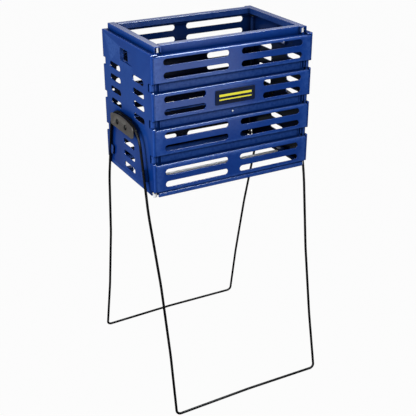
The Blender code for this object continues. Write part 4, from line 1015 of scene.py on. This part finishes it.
def leg_clip(side, wire_plane):
    """The clip that a leg's wire rests against."""
    clear = (WIRE_RADIUS + FIT) / math.cos(leg_lean)
    low, high = HEIGHT - CLIP_LOW, HEIGHT - CLIP_HIGH
    corners = [((side * (leg_line(drop) - clear - width), -drop), CLIP_ROUND)
               for drop, width in ((high, 0.0), (low, 0.0), (low, CLIP_WIDTH), (high, CLIP_WIDTH))]
    return pulled(drops(rounded(corners, closed=True)), "YZ", SIDE_FACE - WALL / 2, wire_plane)


print("legs lean", round(math.degrees(leg_lean), 1), "degrees")

# %% [markdown]
# ## The window and the fittings of the side
# Under the rim each side has a small framed window with a ramp beside it. Round bosses carry the pivot
# pins, sockets hold the bottom bars, and knuckles take the corner rods. All are moulded with the wall.
# They could be set against it as loose pieces, but joining them first and boring them afterwards gives
# clean holes through wall and fitting together.

# %% Add the window's frame, the clips, bosses and bar sockets
WINDOW_LOW, WINDOW_HIGH, WINDOW_START, WINDOW_END, WINDOW_ROUND = -0.058, -0.031, -0.027, 0.007, 0.001
FRAME_WALL, FRAME_DEPTH, BOSS_DIAMETER, SOCKET_HALF, SOCKET_LENGTH = 0.002, 0.008, 0.015, 0.006, 0.018


def window_line(grow):
    """The right wall's window, or the outside of its frame when grown."""
    low, high, start, end = WINDOW_LOW - grow, WINDOW_HIGH + grow, WINDOW_START - grow, WINDOW_END + grow
    corners = [((along, level), WINDOW_ROUND + grow)
               for along, level in ((start, low), (end, low), (end, high), (start, high))]
    return drops(rounded(corners, closed=True))


window_frame = pulled(window_line(FRAME_WALL), "YZ", SIDE_FACE - FRAME_DEPTH, SIDE_FACE - 0.75 * WALL)
additions = [window_frame, leg_clip(-1, INNER_PLANE), leg_clip(1, OUTER_PLANE)]
for side in (-1, 1):
    additions.append(pulled(circle(side * PIVOT_Y, RIM_TOP - PIVOT_DROP, BOSS_DIAMETER), "YZ",
                            SIDE_FACE - WALL / 2, SIDE_FACE + BOSS_PROUD))
    additions.append(block(
        (SIDE_FACE - WALL / 2 - SOCKET_LENGTH, side * BAR_Y - SOCKET_HALF, RIM_TOP - HEIGHT + WALL / 2),
        (SIDE_FACE - WALL / 2, side * BAR_Y + SOCKET_HALF, RIM_TOP - BAR_DROP + SOCKET_HALF)))
for top, foot in zip([KNUCKLE_TOP] + [foot + KNUCKLE_GAP for _, foot in notch_drops],
                     [top - KNUCKLE_GAP for top, _ in notch_drops] + [LOBE_FOOT]):
    additions += both(upright(KNUCKLE_DIAMETER, -foot, -top, ROD_X, ROD_Y), 1)
for solid in additions:
    side_wall = combined(side_wall, [solid], "UNION")
print("fittings joined to a side:", len(additions))

# %% Bore the rod and pin holes, the ramp and the window
HEAD_BORE, HEAD_BORE_DEPTH, PIN_COVER = 0.0091, 0.0026, 0.0015
RAMP_END, RAMP_DEPTH, RAMP_START, WINDOW_REACH = 0.035, 0.002, 0.006, 0.02
bores = both(upright(ROD_DIAMETER + 2 * FIT, -HEIGHT - WALL, -KNUCKLE_TOP + WALL, ROD_X, ROD_Y), 1)
bores += both(upright(HEAD_BORE, -KNUCKLE_TOP, -KNUCKLE_TOP + HEAD_BORE_DEPTH, ROD_X, ROD_Y), 1)
bores += both(upright(RIM_PIN_DIAMETER + 2 * FIT, -1.5 * WALL, -PIN_COVER, RIM_PIN_X, ROD_Y), 1)
ramp_line = [(SIDE_FACE, RAMP_END), (SIDE_FACE - RAMP_DEPTH, WINDOW_END),
             (SIDE_FACE - RAMP_DEPTH, RAMP_START), (SIDE_FACE + WALL, RAMP_START),
             (SIDE_FACE + WALL, RAMP_END)]
bores.append(pulled(ramp_line, "XY", RIM_TOP + WINDOW_LOW, RIM_TOP + WINDOW_HIGH))
bores.append(pulled(window_line(0.0), "YZ", SIDE_FACE - WINDOW_REACH, SIDE_FACE + 2 * WALL))
for solid in bores:
    side_wall = combined(side_wall, [solid], "DIFFERENCE")
print("side panel faces:", len(side_wall.polygons))

# %% Hang both side panels
left_wall = side_wall.copy()
left_wall.transform(HALF_TURN)
show("left_shell", left_wall, blue_plastic, "basket", ["left_panel"])
show("right_shell", side_wall, blue_plastic, "basket", ["right_panel"])
print("sides hung at x =", -SIDE_FACE, "and", SIDE_FACE)

# %% [markdown]
# ## The bright hardware
# Four rods run down through the knuckles and lock the corners like door hinges, each with a small cap at
# its foot. Short pins close the rim's corners, two bars cross the bottom, and a small rivet sits under the
# plate. They could be plain cylinders, but one helper that turns a profile also gives their heads and
# bevels. The rods are zinc painted darker, as painted shade in the knuckles, what shows outside is zinc
# painted pale, as painted highlight, and the rear caps are black nylon, a dark cap as painted shade at the
# rear feet.

# %% Draw pins and hang them from the rim
SMALL_BEVEL = 0.0006
ENDS, SIDES = (("front", -1), ("rear", 1)), (("left", -1), ("right", 1))


def chamfered(radius, low, high, edge):
    """The profile of a straight pin with small bevels at both ends."""
    return [(radius - edge, high), (radius, high - edge), (radius, low + edge), (radius - edge, low)]


def from_rim(profile, x, y):
    """A turned piece that hangs from the rim's height at a place in the plan."""
    piece = turned(profile)
    piece.transform(Matrix.Translation((x, y, RIM_TOP)))
    return piece


print("a straight pin's profile has", len(chamfered(0.003, 0.0, 0.1, SMALL_BEVEL)), "points")

# %% Turn the rods, their caps and the rim pins
ROD_HEAD_RADIUS, ROD_HEAD_FLAT, ROD_HEAD_HEIGHT = 0.00425, 0.0034, 0.002
ROD_TAIL, ROD_BEVEL, RIM_PIN_TOP = 0.0025, 0.0008, 0.0018
head_top = -KNUCKLE_TOP + FIT + ROD_HEAD_HEIGHT
rod_profile = [(ROD_HEAD_FLAT, head_top), (ROD_HEAD_RADIUS, head_top - SMALL_BEVEL),
               (ROD_HEAD_RADIUS, head_top - ROD_HEAD_HEIGHT),
               (ROD_DIAMETER / 2, head_top - ROD_HEAD_HEIGHT),
               (ROD_DIAMETER / 2, -HEIGHT - ROD_TAIL + ROD_BEVEL),
               (ROD_DIAMETER / 2 - ROD_BEVEL, -HEIGHT - ROD_TAIL)]
cap_profile = [(radius, rise - HEIGHT) for radius, rise in (
    (0.0030, 0.0060), (0.0045, 0.0048), (0.0045, -0.0006), (0.0034, -0.0020), (0.0016, -0.0025))]
rim_pin_profile = chamfered(RIM_PIN_DIAMETER / 2, -BAND_TOP + FIT, -RIM_PIN_TOP, SMALL_BEVEL)
# rods get the darker zinc as painted shade; front caps and rim pins the pale zinc as painted highlight;
# rear caps black nylon as painted shade
for side, across in SIDES:
    for end, along in ENDS:
        rod = from_rim(rod_profile, across * ROD_X, along * ROD_Y)
        show(f"corner_rod_{end}_{side}_dull", rod, zinc_painted_shade, "basket",
             [f"corner_rod_{end}_{side}"])
        tip = from_rim(cap_profile, across * ROD_X, along * ROD_Y)
        show(f"corner_rod_{end}_{side}_tip", tip, zinc_painted_highlight if end == "front" else black_nylon,
             "basket", [])
        pin = from_rim(rim_pin_profile, across * RIM_PIN_X, along * ROD_Y)
        show(f"rim_pin_{end}_{side}_bright", pin, zinc_painted_highlight, "basket",
             [f"rim_pin_{end}_{side}"])
print("rods are", round((head_top + HEIGHT + ROD_TAIL) * 1000, 1), "mm long")

# %% Turn the bottom bars and the rivet
BAR_HALF = 0.1837
# the bottom bars and the rivet get the pale zinc as painted highlight, so the bars read light inside the
# basket
for end, along in ENDS:
    bar = turned(chamfered(BAR_RADIUS, -BAR_HALF, BAR_HALF, SMALL_BEVEL))
    bar.transform(Matrix.Translation((0.0, along * BAR_Y, RIM_TOP - BAR_DROP))
                  @ Matrix.Rotation(math.pi / 2, 4, "Y"))
    show(f"bottom_bar_{end}_bright", bar, zinc_painted_highlight, "basket", [f"bottom_bar_{end}"])
rivet = turned([(0.0006, 0.0013), (0.0014, 0.0011), (0.0021, 0.0006), (0.0021, FIT), (0.0012, FIT),
                (0.0012, -WALL)])
rivet_drop = (band_drops[1][1] + band_drops[2][0]) / 2
rivet.transform(Matrix.Translation((0.0, -RECESS_FACE, RIM_TOP - rivet_drop))
                @ Matrix.Rotation(math.pi / 2, 4, "X"))
show("label_rivet_bright", rivet, zinc_painted_highlight, "basket", ["label_rivet"])
print("rivet is", round(rivet_drop * 1000, 1), "mm below the rim")

# %% [markdown]
# ## The plate on the front
# A thin navy plate lies on the second band. It carries two plain yellow rules. The rules could be
# painted in the material, but thin raised strips, like thick ink, catch the light at their edges.

# %% Make the plate and its rules
LABEL_WIDTH, LABEL_HEIGHT, LABEL_THICKNESS = 0.093, 0.030, 0.0010
LABEL_ROUND, LABEL_EDGE, LABEL_BELOW_MIDDLE = 0.0015, 0.0003, 0.0006
RULE_WIDTH, RULE_ROUND, INK_THICKNESS = 0.076, 0.0004, 0.0002
RULES = ((-0.0036, 0.0048), (0.0052, 0.0026))
plate_drop = band_drops[1][0] + BAND_HEIGHT / 2 + LABEL_BELOW_MIDDLE
plate_back = -FRONT_FACE - FIT


def strip(width, height, centre_drop, corner, back, thickness):
    """A thin upright strip with round corners on the middle of the basket's front."""
    half_a, half_b = width / 2, height / 2
    corners = [((across * half_a, -centre_drop + upward * half_b), corner)
               for across, upward in ((-1, -1), (1, -1), (1, 1), (-1, 1))]
    return pulled(drops(rounded(corners, closed=True)), "XZ", back - thickness, back)


plate = strip(LABEL_WIDTH, LABEL_HEIGHT, plate_drop, LABEL_ROUND, plate_back, LABEL_THICKNESS)
show("label_plate_navy", plate, navy_print, "basket", ["label_plate"],
     edge_round=LABEL_EDGE)
for index, (offset, height) in enumerate(RULES):
    rule = strip(RULE_WIDTH, height, plate_drop + offset, RULE_ROUND, plate_back - LABEL_THICKNESS,
                 INK_THICKNESS)
    show(f"label_rule_{index}", rule, yellow_print, "basket", [])
print("plate centre is", round(plate_drop * 1000, 1), "mm below the rim")

# %% [markdown]
# ## Brackets, pivot pins and spacers
# On each side an arched steel plate covers the wire ends. Two pins pass through plate, wire eye, spacer
# and wall, and are riveted inside. The plate could be a bevelled box, but its arch shows from the front,
# so its outline is drawn with the true arch and pulled to the plate's thickness.

# %% Make the brackets
PLATE_TOP_DROP, PLATE_HEIGHT, PLATE_HALF, PLATE_ARCH = 0.1695, 0.033, 0.058, 0.0075
PLATE_ROUND, PLATE_THICKNESS, PLATE_EDGE = 0.009, 0.002, 0.0005
PIN_HOLE, HOLE_FLARE, ARCH_SHARE = PIN_DIAMETER + 2 * FIT, 0.0004, 0.8
arch_half = PLATE_HALF - PLATE_ROUND / 2
arch_radius = (arch_half ** 2 + PLATE_ARCH ** 2) / (2 * PLATE_ARCH)
plate_foot, plate_shoulder = -PLATE_TOP_DROP - PLATE_HEIGHT, -PLATE_TOP_DROP - PLATE_ARCH
plate_corners = [((PLATE_HALF, plate_foot), PLATE_ROUND), ((PLATE_HALF, plate_shoulder), PLATE_ROUND)]
for step in range(1, 16):
    along = PLATE_HALF * (1 - step / 8)
    sag = arch_radius - math.sqrt(arch_radius ** 2 - along ** 2)
    if abs(along) < PLATE_HALF * ARCH_SHARE:
        plate_corners.append(((along, -PLATE_TOP_DROP - sag), 0.0))
plate_corners += [((-PLATE_HALF, plate_shoulder), PLATE_ROUND), ((-PLATE_HALF, plate_foot), PLATE_ROUND)]
plate_front = PLATE_PLANE + PLATE_THICKNESS
bracket = pulled(drops(rounded(plate_corners, closed=True)), "YZ", PLATE_PLANE, plate_front)
holes = [flared_slot(side * PIVOT_Y, RIM_TOP - PIVOT_DROP, PIN_HOLE, PIN_HOLE, "YZ", plate_front,
                     PLATE_PLANE, HOLE_FLARE) for side in (-1, 1)]
bracket = combined(bracket, holes, "DIFFERENCE")
for side, mesh in (("right", bracket), ("left", mirrored(bracket, 0))):
    show(f"bracket_{side}_painted", mesh, grey_plate, "basket", [f"bracket_{side}"],
         edge_round=PLATE_EDGE)
print("brackets are", PLATE_HALF * 2, "m long")

# %% Turn the pivot pins and spacers
head_seat = PLATE_PLANE - SIDE_FACE + PLATE_THICKNESS + FIT
tail = -WALL - FIT
pin_profile = [(0.0015, head_seat + 0.002), (0.0034, head_seat + 0.0018), (0.0049, head_seat + 0.0013),
               (0.00575, head_seat + 0.0005), (0.00575, head_seat), (PIN_DIAMETER / 2, head_seat),
               (PIN_DIAMETER / 2, tail), (0.005, tail), (0.005, tail - 0.0009), (0.00275, tail - 0.002)]
spacer_profile = [(0.006, 0.0052), (0.0057, 0.0055), (0.0033, 0.0055), (0.0033, 0.0), (0.0057, 0.0),
                  (0.006, 0.0003)]
for side, across in SIDES:
    outward = Matrix.Rotation(across * math.pi / 2, 4, "Y")
    for end, along in ENDS:
        y, z = along * PIVOT_Y, RIM_TOP - PIVOT_DROP
        pin = turned(pin_profile)
        pin.transform(Matrix.Translation((across * SIDE_FACE, y, z)) @ outward)
        show(f"pivot_pin_{end}_{side}_black", pin, black_coating, "basket",
             [f"pivot_pin_{end}_{side}"])
        spare_plane = OUTER_PLANE if (end == "front") == (side == "left") else INNER_PLANE
        ring = turned(spacer_profile, looped=True)
        ring.transform(Matrix.Translation((across * (spare_plane - WIRE_RADIUS), y, z)) @ outward)
        show(f"spacer_{end}_{side}_black", ring, black_nylon, "basket",
             [f"spacer_{end}_{side}"])
print("pins stand", round(head_seat * 1000, 1), "mm off the wall")

# %% [markdown]
# ## The folding legs
# Each leg is one wire: an eye round its pin, a crank to the side, a straight run to a foot, a rail
# along the floor and the same again. The front leg turns on the rear pins and the rear leg on the front
# pins, which is why they cross. A curve with a round bevel is the natural way to draw bent wire.

# %% Draw half of a leg's wire
EYE_SWEEP, EYE_POINTS, BEND_STEP = 260, 40, math.radians(6)
CRANK_ROUND, SHOULDER_ROUND, BOW_ROUND, FOOT_ROUND = 0.008, 0.052, 0.4, 0.010
FOOT_NARROWING, RAIL_RISE = 0.0108, 0.003
NARROWING = ((0.348, 0.0), (0.507, 0.009), (0.667, 0.0122))


def half_wire(wire_plane):
    """One side of a leg from its eye to the middle of its rail: across, towards the feet and up."""
    eye_radius = PIN_DIAMETER / 2 + FIT + WIRE_RADIUS
    foot_plane = wire_plane - FOOT_NARROWING
    rail_middle = WIRE_RADIUS + RAIL_RISE
    foot_height = rail_middle - RAIL_RISE * foot_plane / (foot_plane - FOOT_ROUND)
    pivot_height = RIM_TOP - PIVOT_DROP
    crank_height = pivot_height + CRANK_RISE
    eye_points = []
    for step in range(EYE_POINTS):
        angle = math.radians(180 + EYE_SWEEP * (1 - step / (EYE_POINTS - 1)))
        eye_points.append((wire_plane, eye_radius * math.cos(angle) - PIVOT_Y,
                           pivot_height + eye_radius * math.sin(angle)))
    corners = [(eye_points[-1], 0.0), ((wire_plane, -PIVOT_Y - eye_radius, crank_height), CRANK_ROUND),
               ((wire_plane, SHOULDER_REACH, crank_height), SHOULDER_ROUND)]
    corners += [((wire_plane - inset, leg_line(drop), RIM_TOP - drop), BOW_ROUND)
                for drop, inset in NARROWING]
    corners += [((foot_plane, FOOT_REACH, foot_height), FOOT_ROUND), ((0.0, FOOT_REACH, rail_middle), 0.0)]
    return eye_points[:-1] + [tuple(point) for point in rounded(corners, step_angle=BEND_STEP)]


print("half a wire has", len(half_wire(OUTER_PLANE)), "points")

# %% Bend both wires
leg_wire = half_wire(OUTER_PLANE)
leg_wire += [(-across, along, height) for across, along, height in reversed(half_wire(INNER_PLANE)[:-1])]
for name, foot_side in (("front_leg", -1), ("rear_leg", 1)):
    points = [(foot_side * across, foot_side * along, height) for across, along, height in leg_wire]
    bend = bpy.data.curves.new(name + "_wire", "CURVE")
    bend.dimensions = "3D"
    bend.bevel_depth = WIRE_RADIUS
    bend.bevel_resolution = 5
    bend.use_fill_caps = True
    spline = bend.splines.new("POLY")
    spline.points.add(len(points) - 1)
    for target, point in zip(spline.points, points):
        target.co = (*point, 1.0)
    spline.use_smooth = True
    bend.materials.append(black_coating)
    wire = bpy.data.objects.new(name + "_wire", bend)
    bpy.context.scene.collection.objects.link(wire)
    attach(wire, name)
    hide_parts(name)
    print(name, "wire has", len(points), "points")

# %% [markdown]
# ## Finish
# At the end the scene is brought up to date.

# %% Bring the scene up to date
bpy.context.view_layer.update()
